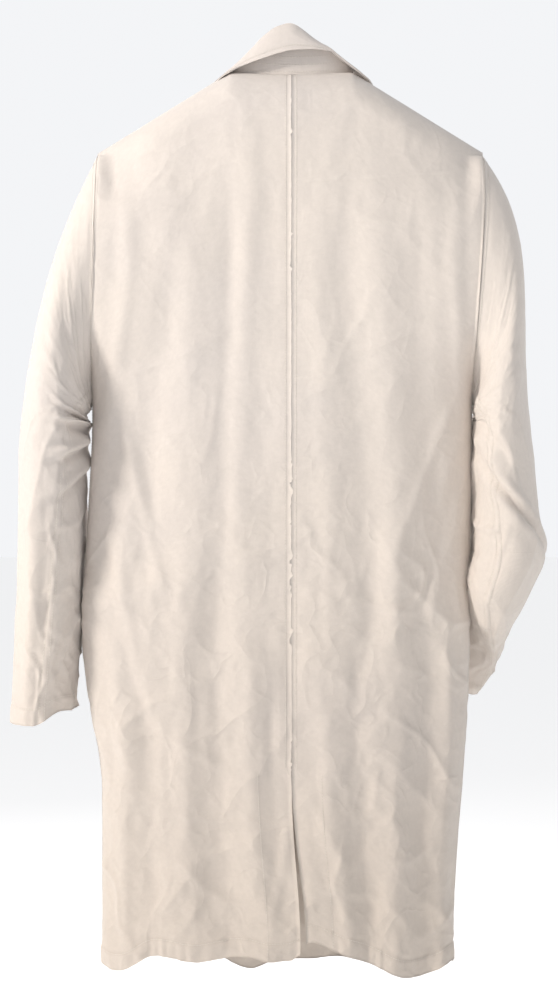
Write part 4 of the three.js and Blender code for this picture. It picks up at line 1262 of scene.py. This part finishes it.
def buttons():
    shape = button_mesh()
    for k in range(1, BUTTON_COUNT + 1):
        low, high = (np.array(c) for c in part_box(f"button_{k}"))
        centre = (low + high) / 2
        mesh = shape.copy()
        mesh.transform(_face_front(centre[0], high[1], centre[2]))
        disc = added(f"button_{k}_resin", mesh)
        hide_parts(f"button_{k}")
        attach(disc, f"button_{k}")
        x0, z0, y_face = centre[0] / MM, centre[2] / MM, high[1] / MM - 2.1
        bars = []
        for z in (-BUTTON_HOLE, BUTTON_HOLE):
            for shift in (-0.35, 0.35):
                bars.append((np.array([x0 - 2.9, y_face, z0 + z + shift]),
                             np.array([x0 + 2.9, y_face, z0 + z + shift]), np.array([0, -1.0, 0])))
        cross = _thread_object(f"button_{k}_threads", bars, 0.45)
        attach(cross, f"button_{k}")
        foot_low, foot_high = (np.array(c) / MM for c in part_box(f"button_shank_{k}"))
        x, z = (foot_low[0] + foot_high[0]) / 2, (foot_low[2] + foot_high[2]) / 2
        twists = []
        for turn in range(10):
            a = 2 * math.pi * turn / 10
            ring = np.array([math.cos(a), 0, math.sin(a)]) * 1.15
            lean = np.array([math.cos(a + 0.9), 0, math.sin(a + 0.9)]) * 1.15
            base, tip = np.array([x, foot_high[1] + 1.2, z]), np.array([x, foot_low[1] - 0.4, z])
            twists.append((base + ring, tip + lean, ring))
        shank = _thread_object(f"button_{k}_shank", twists, 0.5)
        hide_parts(f"button_shank_{k}")
        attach(shank, "front_right")


def _face_front(x, y, z):
    return Matrix.Translation((x, y, z)) @ Matrix.Rotation(math.pi / 2, 4, "X")


def _thread_object(name, threads, half):
    verts, faces = thread_mesh(threads, half)
    mesh = bpy.data.meshes.new(name)
    mesh.from_pydata((verts * MM).tolist(), [], faces.tolist())
    mesh.materials.append(THREAD)
    for polygon in mesh.polygons:
        polygon.use_smooth = True
    return added(name, mesh)


# ---- Camera, floor and light -------------------------------------------------------------


def camera():
    data = bpy.data.cameras.new("camera")
    data.sensor_width = 36.0
    data.lens = data.sensor_width / 2 / (FRAME_HEIGHT / 2 / CAMERA_DISTANCE)
    cam = added("camera", data)
    cam.location = (AIM_X, CAMERA_DISTANCE, AIM_Z)
    cam.rotation_euler = (math.pi / 2, 0, math.pi)
    bpy.context.scene.camera = cam


def studio():
    plain = new_material(
        "studio_floor", Roughness=0.95, Base_Color=(0.9, 0.9, 0.9, 1),
        Emission_Color=(1.0, 1.0, 1.0, 1), Emission_Strength=0.28,
    )[0]
    bpy.ops.mesh.primitive_plane_add(size=60, location=(0, 0, FLOOR_Z))
    floor = bpy.context.object
    floor.name = "studio_floor"
    floor.data.materials.append(plain)
    world = bpy.data.worlds.new("studio")
    world.use_nodes = True
    tree = world.node_tree
    sky = tree.nodes["Background"]
    sky.inputs["Color"].default_value = (0.97, 0.98, 1.0, 1)
    place = tree.nodes.new("ShaderNodeTexCoord")
    apart = tree.nodes.new("ShaderNodeSeparateXYZ")
    tree.links.new(place.outputs["Generated"], apart.inputs["Vector"])
    # The studio is brightest in front of the coat and dimmer behind it.
    share = tree.nodes.new("ShaderNodeMapRange")
    share.interpolation_type = "SMOOTHSTEP"
    share.inputs["From Min"].default_value, share.inputs["From Max"].default_value = -0.7, 0.2
    share.inputs["To Min"].default_value, share.inputs["To Max"].default_value = 0.93, 0.52
    tree.links.new(apart.outputs["Y"], share.inputs["Value"])
    tree.links.new(share.outputs["Result"], sky.inputs["Strength"])
    bpy.context.scene.world = world
    bpy.context.scene.view_settings.view_transform = "Standard"
    lamps = {
        "key": ((2.4, 1.25, 0.85), (0.0, 0.0, -0.3), 0.5, 76.0, (1.0, 0.94, 0.87)),
        "fill": ((-1.4, 2.6, 0.6), (0.0, 0.0, -0.5), 1.6, 7.0, (0.97, 0.98, 1.0)),
        "front": ((0.9, -2.4, 0.9), (0.0, 0.0, -0.5), 0.9, 26.0, (1.0, 0.97, 0.93)),
    }
    for name, (place, target, size, power, colour) in lamps.items():
        data = bpy.data.lights.new(name, "AREA")
        data.size, data.energy, data.color = size, power, colour
        lamp = added(name, data)
        lamp.location = place
        lamp.rotation_euler = (Vector(target) - Vector(place)).to_track_quat("-Z", "Y").to_euler()


# ---- Assembly ----------------------------------------------------------------------------

camera()
studio()
for name in ("left", "right"):
    back_panel(name)
    front_panel(name)
    front_top(name)
    lapel(name)
    collar_end(name)
    sleeve(name)
collar_stand()
collar_leaf()
pockets()
yoke_lining()
neck_label()
hanger_loop()
buttons()
